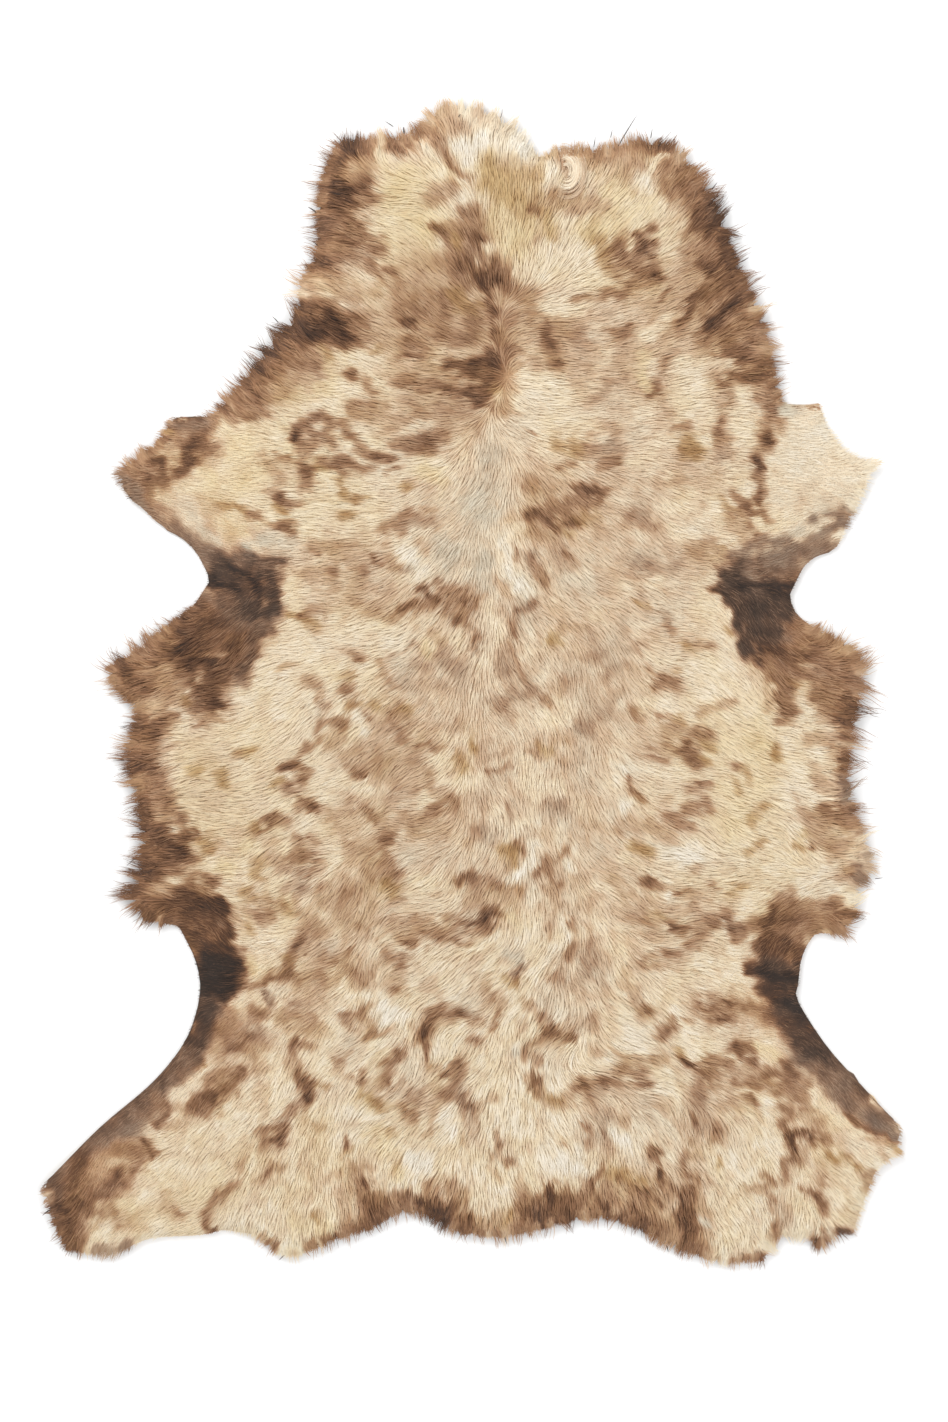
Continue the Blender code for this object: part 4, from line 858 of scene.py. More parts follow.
    ("taupe", 842, 784, 845, 800, 5), ("umber", 820, 808, 848, 814, 8), ("tan", 828, 836, 846, 846, 10),
    ("moss", 856, 800, 862, 826, 868, 850, 873, 880, 7), ("taupe", 850, 878, 866, 882, 5),
    ("brown", 844, 866, 850, 874, 6), ("umber", 711, 882, 717, 888, 2),
    ("ochre", 738, 888, 746, 887, 4),
    # left flank's foot and hind notch
    ("tan", 170, 894, 216, 894, 4), ("umber", 138, 898, 180, 900, 13), ("dark", 184, 903, 214, 911, 10),
    ("plum", 132, 900, 150, 906, 8), ("umber", 168, 912, 200, 906, 224, 910, 9),
    ("dark", 200, 902, 222, 906, 228, 916, 5), ("brown", 176, 922, 186, 934, 194, 948, 11),
    ("umber", 204, 924, 208, 940, 11), ("taupe", 222, 922, 230, 932, 6),
    ("brown", 140, 922, 160, 920, 6), ("umber", 150, 914, 140, 918, 4), ("dark", 206, 950, 222, 948, 9),
    ("black", 210, 960, 236, 960, 9), ("black", 208, 974, 238, 974, 10),
    ("black", 206, 990, 226, 990, 9), ("black", 206, 1000, 224, 994, 7),
    ("umber", 236, 958, 244, 962, 4), ("umber", 240, 974, 246, 972, 3),
    ("dark", 200, 1012, 210, 1010, 8), ("slate", 197, 1022, 206, 1020, 8),
    ("dark", 200, 1016, 193, 1036, 182, 1056, 166, 1074, 152, 1088, 6),
    ("hide", 208, 1028, 200, 1044, 190, 1060, 176, 1076, 7),
    ("slate", 207, 1006, 212, 1014, 203, 1034, 190, 1054, 8), ("cream", 240, 934, 252, 950, 9),
    ("cream", 238, 1000, 250, 1010, 8), ("brown", 240, 984, 252, 986, 4),
    ("brown", 226, 1012, 230, 1022, 5), ("tan", 222, 1022, 230, 1030, 8),
    ("brown", 222, 1032, 248, 1036, 11), ("umber", 226, 1052, 234, 1048, 4),
    ("brown", 220, 1044, 240, 1050, 7), ("tan", 212, 1044, 220, 1054, 7),
    ("hide", 206, 1040, 196, 1056, 7), ("ochre", 194, 1064, 202, 1062, 4),
    ("brown", 204, 1082, 222, 1076, 236, 1068, 6), ("umber", 204, 1086, 212, 1084, 5),
    ("umber", 242, 1066, 245, 1074, 3), ("brown", 226, 1086, 240, 1078, 5),
    ("cream", 188, 1076, 196, 1086, 7), ("hide", 194, 1050, 176, 1071, 152, 1095, 9),
    ("ochre", 244, 892, 252, 896, 6), ("ochre", 246, 926, 254, 932, 5),
    # lower back, left
    ("ochre", 262, 904, 288, 908, 8), ("brown", 268, 902, 282, 906, 4),
    ("umber", 264, 914, 270, 916, 3), ("ochre", 252, 914, 250, 932, 6),
    ("umber", 292, 913, 298, 913, 3), ("plum", 300, 890, 300, 902, 8), ("cream", 308, 904, 310, 912, 8),
    ("tan", 320, 892, 322, 898, 4), ("tan", 336, 890, 350, 912, 12),
    ("cream", 270, 920, 290, 940, 262, 962, 19), ("umber", 303, 932, 299, 944, 296, 954, 6),
    ("brown", 290, 958, 284, 968, 272, 976, 262, 984, 6), ("umber", 290, 972, 276, 978, 266, 982, 4),
    ("ochre", 280, 957, 288, 958, 4), ("dark", 298, 946, 302, 942, 4),
    ("tan", 316, 930, 322, 960, 312, 996, 16), ("shell", 330, 944, 334, 950, 6),
    ("cream", 326, 918, 336, 928, 6), ("brown", 327, 964, 335, 960, 4),
    ("brown", 350, 954, 356, 947, 3), ("brown", 352, 924, 360, 930, 4),
    ("brown", 352, 974, 368, 972, 6), ("brown", 356, 985, 368, 983, 4), ("tan", 344, 968, 366, 976, 12),
    ("brown", 400, 938, 414, 944, 4), ("brown", 398, 966, 402, 956, 3),
    ("brown", 386, 952, 390, 960, 4), ("umber", 424, 932, 446, 936, 3),
    ("brown", 446, 916, 462, 918, 4), ("umber", 456, 938, 466, 944, 3),
    ("brown", 456, 926, 464, 922, 3), ("tan", 420, 926, 450, 930, 9), ("cream", 458, 951, 472, 947, 6),
    ("brown", 394, 990, 390, 996, 4), ("cream", 344, 1000, 368, 998, 7),
    ("cream", 328, 1010, 332, 1034, 326, 1060, 13), ("cream", 312, 1068, 318, 1082, 8),
    ("brown", 342, 1016, 360, 1010, 378, 1004, 3), ("brown", 342, 1020, 358, 1024, 5),
    ("tan", 364, 1016, 374, 1028, 8), ("brown", 366, 1036, 382, 1033, 396, 1028, 4),
    ("white", 384, 1008, 392, 1020, 11), ("shell", 396, 1040, 412, 1050, 10),
    ("umber", 420, 1031, 434, 1029, 8), ("dark", 424, 1029, 431, 1030, 4),
    ("umber", 429, 1042, 426, 1054, 4), ("ochre", 430, 1062, 442, 1058, 5),
    ("tan", 424, 1066, 436, 1070, 4), ("brown", 438, 1008, 430, 1012, 446, 1018, 468, 1014, 7),
    ("umber", 458, 1014, 470, 1018, 4), ("cream", 446, 1034, 460, 1044, 442, 1052, 12),
    ("umber", 440, 1073, 448, 1070, 458, 1062, 5), ("dark", 441, 1074, 447, 1073, 3),
    ("brown", 450, 1084, 460, 1070, 7), ("brown", 450, 1086, 454, 1092, 5),
    ("brown", 382, 1078, 386, 1066, 397, 1060, 7), ("umber", 382, 1086, 388, 1082, 4),
    ("brown", 397, 1055, 405, 1053, 3), ("cream", 370, 1060, 372, 1076, 7),
    ("shell", 410, 1068, 416, 1080, 9), ("pink", 342, 1052, 354, 1048, 350, 1062, 8),
    ("tan", 338, 1070, 342, 1062, 4), ("brown", 354, 1078, 362, 1081, 5),
    ("umber", 361, 1067, 362, 1072, 3),
    ("brown", 298, 1040, 293, 1050, 299, 1064, 303, 1078, 304, 1090, 5),
    ("umber", 300, 1039, 295, 1046, 3), ("brown", 307, 1046, 314, 1050, 4),
    ("umber", 300, 1076, 310, 1086, 5), ("tan", 290, 1062, 284, 1076, 6),
    ("ochre", 316, 1088, 326, 1087, 3), ("brown", 252, 1010, 264, 1016, 6),
    ("plum", 250, 1024, 262, 1036, 9), ("tan", 264, 1042, 268, 1056, 4),
    ("tan", 252, 1048, 258, 1068, 6), ("cream", 274, 1028, 282, 1044, 9),
    ("cream", 270, 1060, 276, 1082, 11), ("tan", 280, 1016, 292, 1026, 5),
    ("taupe", 264, 994, 270, 1004, 5), ("plum", 284, 1000, 302, 1010, 7),
    ("shell", 274, 986, 282, 990, 6), ("tan", 302, 1014, 314, 1026, 9),
    ("shell", 344, 1038, 340, 1030, 7),
    # lower back, right
    ("plum", 480, 890, 488, 902, 478, 924, 13), ("umber", 482, 908, 486, 918, 6),
    ("dark", 470, 926, 482, 920, 4), ("umber", 494, 912, 510, 912, 4), ("brown", 472, 936, 492, 928, 7),
    ("ochre", 504, 892, 516, 898, 6), ("butter", 510, 906, 518, 920, 8),
    ("white", 499, 899, 510, 909, 3), ("tan", 548, 890, 552, 906, 550, 926, 6),
    ("brown", 552, 926, 553, 938, 4), ("umber", 542, 941, 553, 939, 3),
    ("cream", 528, 914, 534, 932, 11), ("cream", 562, 924, 558, 938, 566, 950, 8),
    ("brown", 571, 922, 575, 931, 4), ("white", 570, 936, 572, 942, 4),
    ("cream", 518, 948, 548, 954, 564, 962, 15), ("cream", 530, 976, 548, 966, 11),
    ("haze", 512, 954, 518, 962, 5), ("taupe", 513, 974, 520, 970, 4), ("ochre", 503, 980, 516, 983, 4),
    ("brown", 574, 946, 568, 964, 560, 978, 7), ("plum", 590, 954, 596, 970, 578, 976, 11),
    ("brown", 550, 976, 560, 979, 4), ("pink", 572, 988, 592, 1002, 15),
    ("shell", 544, 998, 562, 1010, 13), ("tan", 486, 986, 491, 1002, 6),
    ("brown", 502, 1004, 497, 1016, 491, 1028, 4), ("cream", 510, 1008, 516, 1020, 8),
    ("tan", 524, 1000, 533, 1016, 5), ("umber", 473, 1018, 481, 1019, 3),
    ("tan", 470, 1025, 482, 1025, 3), ("brown", 470, 1038, 483, 1040, 4),
    ("plum", 529, 1029, 524, 1036, 4), ("brown", 542, 1024, 550, 1036, 562, 1036, 576, 1030, 8),
    ("umber", 546, 1030, 556, 1036, 5), ("dark", 567, 1038, 576, 1033, 3),
    ("umber", 574, 1029, 582, 1026, 4), ("brown", 546, 1042, 556, 1045, 5),
    ("brown", 524, 1052, 536, 1043, 5), ("haze", 511, 1052, 516, 1051, 3),
    ("cream", 556, 1058, 578, 1066, 17), ("white", 583, 1036, 590, 1046, 5),
    ("tan", 590, 1018, 588, 1030, 6), ("tan", 590, 1042, 595, 1056, 5),
    ("brown", 536, 1057, 533, 1070, 529, 1078, 4), ("umber", 537, 1078, 536, 1090, 4),
    ("brown", 542, 1078, 540, 1090, 4), ("tan", 632, 986, 635, 1000, 646, 1012, 6),
    ("umber", 644, 1004, 649, 1010, 2), ("brown", 670, 1018, 665, 1034, 5),
    ("brown", 656, 1036, 664, 1030, 5), ("brown", 684, 1018, 692, 1022, 5),
    ("umber", 668, 1027, 676, 1024, 3), ("white", 674, 1006, 680, 1016, 6),
    ("cream", 672, 994, 686, 982, 8), ("cream", 684, 1030, 694, 1044, 8),
    ("cream", 628, 1040, 642, 1050, 9), ("tan", 608, 1046, 622, 1055, 645, 1058, 666, 1057, 3),
    ("tan", 618, 1066, 652, 1066, 9), ("brown", 624, 1070, 656, 1075, 5),
    ("umber", 638, 1083, 652, 1085, 3), ("brown", 608, 1080, 626, 1085, 5),
    ("umber", 574, 1090, 590, 1085, 606, 1082, 6), ("cream", 662, 1072, 680, 1082, 10),
    ("ochre", 677, 1048, 682, 1058, 4), ("dark", 683, 1060, 692, 1066, 3),
    ("white", 600, 1060, 612, 1058, 5), ("ochre", 644, 920, 658, 918, 6),
    ("brown", 660, 922, 676, 920, 3), ("dark", 670, 927, 681, 928, 4), ("umber", 676, 933, 683, 932, 4),
    ("umber", 674, 893, 692, 891, 3), ("white", 666, 894, 672, 900, 5), ("tan", 630, 914, 652, 926, 9),
    ("brown", 644, 956, 653, 953, 4), ("brown", 664, 950, 674, 955, 4), ("tan", 642, 966, 656, 966, 6),
    ("cream", 682, 900, 692, 906, 6),
    # right flank's foot and hind notch
    ("brown", 692, 940, 700, 926, 716, 921, 8), ("brown", 726, 924, 734, 932, 740, 938, 6),
    ("umber", 732, 928, 738, 930, 4), ("white", 721, 918, 726, 932, 2),
    ("cream", 718, 904, 728, 912, 6), ("ochre", 732, 894, 736, 906, 5), ("tan", 692, 894, 692, 906, 6),
    ("cream", 744, 902, 760, 898, 10), ("brown", 776, 902, 790, 897, 802, 906, 9),
    ("umber", 772, 910, 769, 926, 4), ("brown", 792, 920, 780, 936, 12),
    ("brown", 806, 922, 812, 930, 8), ("tan", 806, 904, 836, 906, 7), ("tan", 800, 930, 796, 944, 6),
    ("brown", 838, 908, 848, 914, 838, 926, 8), ("umber", 846, 908, 854, 918, 4),
    ("umber", 764, 926, 765, 938, 760, 950, 6), ("dark", 762, 938, 768, 952, 6),
    # painted shade: the black line along the fold
    ("hide", 774, 946, 796, 956, 10), ("black", 755, 967, 776, 975, 797, 982, 4),
    ("slate", 776, 966, 796, 971, 6), ("brown", 796, 948, 792, 958, 5),
    ("taupe", 797, 968, 799, 974, 4), ("dark", 748, 970, 760, 972, 4), ("umber", 752, 962, 758, 966, 4),
    ("dark", 760, 986, 784, 988, 5), ("black", 778, 994, 790, 1000, 7),
    ("umber", 764, 996, 776, 1006, 5), ("slate", 786, 1004, 798, 1018, 812, 1034, 8),
    ("dark", 796, 1026, 806, 1038, 5), ("slate", 770, 988, 792, 994, 9),
    ("hide", 774, 1010, 792, 1020, 8), ("umber", 772, 1014, 788, 1022, 4),
    ("slate", 820, 1044, 834, 1060, 850, 1074, 868, 1092, 7),
    ("slate", 800, 1010, 816, 1034, 832, 1056, 8), ("hide", 792, 1034, 812, 1058, 834, 1080, 9),
    ("taupe", 806, 1050, 824, 1066, 846, 1084, 8), ("cream", 748, 992, 766, 1001, 5),
    ("brown", 712, 993, 740, 992, 6), ("brown", 708, 1010, 746, 1003, 762, 1010, 10),
    ("umber", 712, 1020, 732, 1022, 5), ("dark", 722, 1004, 740, 1000, 3),
    ("tan", 752, 1018, 772, 1026, 7), ("tan", 774, 1034, 786, 1040, 6),
    ("cream", 702, 1030, 716, 1042, 11), ("cream", 748, 1036, 770, 1040, 12),
    ("pink", 738, 1028, 752, 1024, 7), ("brown", 734, 1044, 746, 1050, 7),
    ("umber", 735, 1046, 744, 1054, 4), ("umber", 751, 1058, 755, 1065, 4),
    ("butter", 764, 1050, 776, 1056, 8), ("umber", 692, 1066, 714, 1062, 732, 1064, 5),
    ("dark", 690, 1066, 706, 1064, 3), ("brown", 700, 1072, 722, 1076, 7),
    ("brown", 706, 1086, 694, 1092, 7), ("brown", 754, 1070, 776, 1074, 796, 1075, 6),
    ("umber", 752, 1079, 766, 1075, 5), ("umber", 784, 1066, 796, 1078, 5),
    ("brown", 788, 1086, 796, 1092, 7), ("tan", 768, 1086, 776, 1092, 6),
    ("cream", 748, 1086, 738, 1078, 8), ("shell", 790, 1048, 780, 1042, 8),
    ("cream", 812, 1084, 802, 1092, 6),
    # left hind leg
    ("hide", 150, 1092, 134, 1106, 118, 1120, 100, 1136, 13),
    ("hide", 96, 1140, 78, 1158, 60, 1176, 12), ("taupe", 104, 1148, 122, 1134, 140, 1118, 9),
    ("brown", 156, 1096, 164, 1110, 7), ("umber", 156, 1123, 166, 1116, 4),
    ("tan", 164, 1125, 186, 1126, 4), ("cream", 172, 1094, 180, 1104, 7),
    ("tan", 180, 1108, 186, 1112, 6), ("brown", 188, 1114, 196, 1121, 5),
    ("dark", 211, 1096, 203, 1106, 6), ("umber", 196, 1110, 192, 1106, 5),
    ("umber", 214, 1092, 226, 1088, 5), ("cream", 226, 1106, 200, 1150, 170, 1160, 26),
    ("tan", 104, 1156, 122, 1148, 138, 1144, 8), ("brown", 112, 1152, 136, 1152, 148, 1156, 6),
    ("umber", 143, 1138, 149, 1146, 152, 1157, 4), ("brown", 142, 1166, 132, 1176, 4),
    ("tan", 90, 1172, 100, 1174, 92, 1184, 8), ("umber", 118, 1172, 120, 1178, 106, 1188, 96, 1195, 6),
    ("umber", 82, 1164, 74, 1180, 66, 1192, 9), ("umber", 62, 1198, 72, 1218, 70, 1240, 12),
    ("dark", 60, 1206, 64, 1218, 5), ("hide", 54, 1184, 60, 1196, 7), ("umber", 84, 1196, 86, 1212, 7),
    ("brown", 92, 1204, 88, 1222, 78, 1238, 6), ("tan", 104, 1206, 96, 1224, 6),
    ("sand", 120, 1200, 112, 1216, 8), ("haze", 103, 1224, 108, 1224, 4),
    ("cream", 98, 1240, 124, 1230, 9), ("taupe", 94, 1250, 114, 1252, 128, 1244, 3),
    ("tan", 162, 1206, 176, 1212, 8), ("brown", 175, 1211, 180, 1213, 3),
    ("brown", 204, 1230, 203, 1214, 211, 1203, 224, 1194, 232, 1184, 240, 1180, 4),
    ("umber", 205, 1222, 210, 1230, 4), ("dark", 213, 1230, 216, 1229, 2),
    ("tan", 234, 1176, 246, 1158, 3), ("tan", 130, 1178, 134, 1192, 5),
    ("cream", 146, 1196, 160, 1232, 12),
    # lower left and rump edge
    ("brown", 312, 1090, 306, 1100, 296, 1108, 282, 1117, 6), ("dark", 304, 1097, 307, 1099, 3),
    ("plum", 274, 1118, 288, 1122, 4), ("brown", 285, 1126, 287, 1136, 4),
    ("umber", 266, 1140, 280, 1140, 8), ("dark", 270, 1142, 276, 1143, 4),
    ("brown", 262, 1132, 280, 1130, 5), ("tan", 264, 1150, 276, 1150, 4),
    ("umber", 267, 1174, 273, 1168, 4), ("tan", 276, 1164, 284, 1168, 4),
    ("umber", 347, 1137, 347, 1146, 3), ("ochre", 344, 1151, 349, 1152, 3),
    ("tan", 314, 1126, 320, 1126, 3), ("tan", 341, 1157, 344, 1160, 2),
    ("brown", 397, 1105, 405, 1112, 416, 1117, 5), ("ochre", 370, 1096, 380, 1106, 7),
    ("butter", 376, 1128, 386, 1142, 9), ("ochre", 390, 1131, 395, 1134, 4),
    ("umber", 391, 1093, 396, 1094, 3), ("plum", 408, 1092, 424, 1100, 442, 1106, 10),
    ("brown", 444, 1094, 468, 1095, 3), ("brown", 431, 1121, 429, 1130, 4),
    ("tan", 436, 1108, 433, 1120, 5), ("plum", 458, 1100, 470, 1108, 7),
    ("brown", 466, 1116, 473, 1122, 6), ("tan", 462, 1134, 466, 1146, 4),
    ("white", 449, 1116, 448, 1130, 8), ("cream", 410, 1140, 450, 1150, 14),
    ("white", 412, 1158, 424, 1170, 9), ("ochre", 393, 1166, 398, 1176, 5),
    ("butter", 400, 1176, 406, 1182, 6), ("brown", 354, 1182, 362, 1192, 370, 1206, 378, 1216, 11),
    ("dark", 363, 1179, 367, 1184, 3), ("umber", 374, 1214, 362, 1227, 9),
    ("umber", 344, 1184, 353, 1183, 2), ("tan", 362, 1172, 373, 1165, 3),
    ("umber", 386, 1214, 390, 1204, 4), ("brown", 392, 1208, 408, 1204, 8),
    ("umber", 414, 1202, 426, 1208, 442, 1216, 9), ("dark", 417, 1199, 420, 1206, 4),
    ("umber", 434, 1200, 446, 1210, 8), ("brown", 428, 1190, 450, 1187, 462, 1194, 8),
    ("umber", 444, 1226, 462, 1230, 8), ("dark", 436, 1210, 446, 1218, 5),
    ("brown", 464, 1206, 462, 1222, 8), ("butter", 304, 1222, 332, 1228, 9),
    ("ochre", 312, 1219, 318, 1222, 3), ("tan", 344, 1226, 356, 1220, 7),
    ("umber", 322, 1242, 336, 1236, 4), ("brown", 312, 1244, 306, 1256, 5),
    ("brown", 342, 1236, 352, 1230, 5), ("umber", 263, 1237, 266, 1246, 5),
    ("brown", 273, 1248, 270, 1254, 3), ("tan", 284, 1256, 298, 1256, 4),
    ("brown", 470, 1108, 481, 1105, 490, 1098, 498, 1097, 4), ("umber", 470, 1111, 481, 1108, 5),
    ("umber", 473, 1119, 476, 1131, 4), ("cream", 488, 1108, 520, 1112, 562, 1114, 10),
    ("brown", 534, 1090, 538, 1094, 4), ("tan", 544, 1098, 562, 1104, 8),
    ("ochre", 547, 1096, 554, 1098, 5),
    # rump, middle
    ("brown", 588, 1090, 604, 1094, 4), ("plum", 594, 1100, 606, 1112, 602, 1130, 11),
    ("plum", 588, 1136, 610, 1140, 7), ("brown", 586, 1126, 590, 1138, 4),
    ("pink", 620, 1100, 650, 1110, 15), ("brown", 612, 1149, 615, 1145, 3),
    ("tan", 620, 1121, 628, 1122, 5), ("brown", 499, 1133, 503, 1146, 4),
    ("brown", 502, 1158, 508, 1160, 5), ("tan", 492, 1172, 498, 1178, 5),
    ("tan", 494, 1158, 488, 1166, 2), ("pink", 529, 1146, 533, 1158, 4),
    ("tan", 544, 1139, 553, 1146, 562, 1142, 2), ("umber", 561, 1143, 564, 1142, 2),
    ("pink", 530, 1164, 538, 1176, 7), ("white", 546, 1152, 572, 1164, 14),
    ("white", 620, 1134, 632, 1150, 11), ("umber", 649, 1148, 655, 1160, 659, 1173, 4),
    ("dark", 657, 1167, 659, 1173, 3), ("cream", 667, 1156, 669, 1164, 4),
    ("brown", 683, 1166, 686, 1150, 4), ("tan", 520, 1184, 530, 1196, 9),
    ("brown", 524, 1204, 546, 1202, 8), ("umber", 530, 1208, 541, 1216, 9),
    ("dark", 534, 1210, 542, 1222, 4), ("dark", 550, 1190, 555, 1206, 4),
    ("umber", 552, 1212, 560, 1220, 6), ("brown", 564, 1194, 577, 1206, 9),
    ("umber", 563, 1210, 571, 1218, 6), ("brown", 588, 1190, 600, 1200, 590, 1212, 11),
    ("umber", 601, 1169, 595, 1182, 4), ("umber", 598, 1202, 611, 1219, 4),
    ("ochre", 610, 1172, 634, 1178, 646, 1180, 7), ("brown", 618, 1192, 640, 1196, 662, 1192, 10),
    ("tan", 610, 1186, 624, 1192, 6), ("umber", 622, 1213, 638, 1212, 5),
    ("brown", 636, 1226, 664, 1231, 686, 1226, 10), ("umber", 642, 1222, 648, 1226, 4),
    ("tan", 650, 1210, 658, 1214, 6), ("tan", 666, 1206, 674, 1214, 7),
    ("umber", 681, 1213, 689, 1226, 5), ("tan", 662, 1242, 680, 1248, 4),
    ("umber", 684, 1240, 692, 1252, 6), ("umber", 473, 1222, 482, 1229, 6),
    ("tan", 488, 1222, 510, 1222, 8), ("ochre", 512, 1214, 505, 1226, 3),
    ("brown", 500, 1232, 506, 1242, 3), ("brown", 518, 1228, 532, 1229, 7),
    ("umber", 640, 1192, 660, 1186, 3), ("umber", 655, 1200, 664, 1206, 3),
    ("cream", 474, 1184, 500, 1196, 12),
    # lower right
    ("plum", 696, 1094, 704, 1112, 712, 1124, 10), ("umber", 714, 1126, 722, 1137, 4),
    ("brown", 722, 1138, 714, 1136, 5), ("umber", 694, 1112, 697, 1119, 3),
    ("tan", 718, 1104, 736, 1108, 8), ("brown", 744, 1097, 752, 1100, 5),
    ("umber", 752, 1094, 756, 1100, 759, 1112, 3), ("ochre", 738, 1112, 762, 1115, 5),
    ("ochre", 732, 1122, 744, 1124, 4), ("white", 768, 1094, 768, 1110, 6),
    ("cream", 774, 1112, 786, 1116, 6), ("brown", 784, 1094, 798, 1098, 787, 1109, 9),
    ("tan", 802, 1094, 806, 1097, 4), ("cream", 744, 1128, 770, 1150, 18),
    ("cream", 736, 1160, 762, 1164, 16), ("brown", 780, 1122, 784, 1132, 4),
    ("umber", 784, 1134, 800, 1130, 4), ("umber", 788, 1136, 793, 1152, 7),
    ("dark", 790, 1142, 794, 1152, 4), ("brown", 796, 1152, 800, 1158, 4),
    ("brown", 788, 1158, 785, 1168, 788, 1178, 5), ("brown", 783, 1184, 787, 1180, 4),
    ("tan", 808, 1118, 822, 1122, 7), ("tan", 806, 1106, 820, 1110, 5),
    ("umber", 806, 1142, 828, 1142, 5), ("dark", 808, 1137, 826, 1139, 2),
    ("tan", 830, 1142, 842, 1148, 6), ("brown", 804, 1130, 824, 1132, 3),
    ("ochre", 829, 1154, 836, 1163, 3), ("ochre", 846, 1158, 856, 1168, 6),
    ("umber", 854, 1175, 865, 1178, 2), ("tan", 817, 1164, 821, 1180, 6),
    ("brown", 816, 1179, 822, 1177, 2), ("umber", 802, 1186, 811, 1192, 3),
    ("brown", 814, 1194, 821, 1204, 826, 1211, 5), ("umber", 818, 1200, 824, 1206, 3),
    ("brown", 765, 1173, 770, 1181, 762, 1186, 4), ("tan", 746, 1189, 760, 1187, 4),
    ("brown", 767, 1194, 772, 1201, 4), ("brown", 774, 1213, 785, 1210, 783, 1220, 774, 1231, 7),
    ("umber", 784, 1214, 787, 1219, 3), ("hide", 848, 1074, 868, 1098, 888, 1122, 4),
    ("taupe", 834, 1084, 854, 1106, 874, 1122, 892, 1134, 9),
    ("umber", 846, 1114, 868, 1130, 892, 1140, 3), ("ochre", 886, 1142, 898, 1148, 5),
    ("tan", 874, 1142, 884, 1152, 6), ("shell", 848, 1142, 860, 1150, 9),
    ("cream", 852, 1180, 838, 1192, 11), ("tan", 871, 1174, 865, 1190, 5),
    ("dark", 818, 1240, 830, 1236, 842, 1232, 5), ("umber", 820, 1244, 826, 1252, 6),
    ("slate", 844, 1230, 852, 1236, 4), ("umber", 744, 1259, 762, 1256, 5),
    ("brown", 742, 1261, 724, 1263, 3), ("tan", 716, 1260, 722, 1264, 4),
    ("umber", 766, 1248, 763, 1262, 3), ("umber", 690, 1192, 692, 1214, 690, 1236, 8),
    ("brown", 700, 1204, 706, 1208, 6), ("brown", 694, 1240, 702, 1252, 8),
    ("tan", 708, 1238, 710, 1214, 4), ("brown", 692, 1178, 700, 1188, 8),
    ("cream", 722, 1208, 742, 1232, 18), ("ochre", 717, 1158, 720, 1170, 3),
    ("tan", 730, 1180, 735, 1174, 3), ("tan", 690, 1140, 696, 1150, 8),
    ("haze", 700, 1220, 706, 1222, 4),
    # darker shoulders and flanks
    ("dark", 300, 330, 324, 338, 340, 336, 9), ("umber", 262, 352, 300, 345, 10),
    ("umber", 240, 385, 262, 372, 10), ("brown", 280, 374, 312, 360, 12),
    ("umber", 700, 262, 716, 280, 9), ("umber", 735, 352, 748, 375, 10),
    ("brown", 716, 342, 740, 330, 10), ("olive", 545, 205, 551, 236, 8),
    ("umber", 384, 147, 400, 151, 412, 147, 5), ("umber", 128, 876, 150, 884, 10),
    ("brown", 176, 868, 196, 880, 8), ("tan", 430, 200, 450, 188, 9), ("slate", 262, 600, 270, 608, 7),
    ("hide", 222, 602, 240, 626, 11), ("umber", 196, 613, 216, 630, 11),
    ("umber", 236, 650, 222, 672, 9), ("hide", 262, 626, 251, 650, 8), ("hide", 252, 655, 240, 676, 7),
    ("umber", 146, 904, 176, 912, 9), ("umber", 200, 926, 214, 944, 9),
    ("hide", 214, 1004, 221, 1010, 6), ("tan", 578, 158, 626, 152, 8), ("plum", 562, 160, 577, 186, 6),
    ("umber", 122, 672, 140, 690, 7), ("umber", 130, 720, 150, 730, 9),
    ("brown", 136, 655, 160, 648, 9), ("umber", 846, 700, 852, 720, 8),
    ("brown", 820, 668, 846, 676, 9), ("slate", 740, 606, 742, 630, 7),
    ("slate", 770, 604, 788, 612, 8), ("slate", 762, 628, 776, 634, 9),
    ("slate", 750, 646, 760, 664, 6), ("hide", 778, 640, 790, 640, 7), ("hide", 766, 656, 778, 664, 7),
    ("taupe", 736, 551, 788, 540, 7), ("taupe", 812, 541, 840, 525, 6),
    ("umber", 196, 1110, 212, 1096, 7), ("umber", 212, 1094, 234, 1085, 7),
    ("umber", 182, 926, 196, 944, 7), ("black", 203, 960, 205, 996, 6),
    ("slate", 204, 1008, 197, 1034, 6), ("hide", 190, 1046, 172, 1068, 7),
    ("umber", 800, 935, 801, 960, 5), ("slate", 797, 975, 797, 1000, 6),
    ("slate", 806, 1012, 824, 1040, 7), ("hide", 830, 1050, 848, 1070, 8),
    ("hide", 780, 1022, 800, 1046, 6), ("tan", 428, 128, 446, 120, 7), ("pink", 450, 118, 478, 122, 8),
    ("plum", 440, 124, 450, 116, 5), ("brown", 425, 133, 436, 126, 5), ("umber", 648, 149, 668, 147, 6),
    # right armpit: painted shade along the fold's line, the grey strip over it, the sleek dark wool below
    ("taupe", 748, 575, 792, 566, 7), ("taupe", 756, 562, 802, 552, 7),
    ("taupe", 790, 560, 826, 548, 6), ("slate", 730, 600, 742, 640, 6),
    ("slate", 738, 582, 797, 582, 4), ("black", 742, 585, 797, 584, 2.5),
    ("slate", 744, 604, 790, 606, 11), ("slate", 750, 630, 772, 630, 11),
    ("slate", 750, 650, 760, 656, 6), ("brown", 772, 664, 786, 700, 9),
    ("slate", 722, 574, 736, 590, 6), ("brown", 800, 640, 830, 650, 9),
    # left hind notch
    ("umber", 190, 928, 222, 934, 9), ("dark", 218, 900, 227, 912, 229, 932, 5),
    ("umber", 170, 912, 200, 918, 7), ("dark", 206, 946, 234, 950, 6), ("black", 206, 962, 238, 966, 8),
    ("black", 206, 984, 232, 986, 8), ("slate", 204, 1002, 214, 1006, 7),
    ("slate", 200, 1014, 212, 1020, 7), ("slate", 197, 1026, 206, 1030, 7),
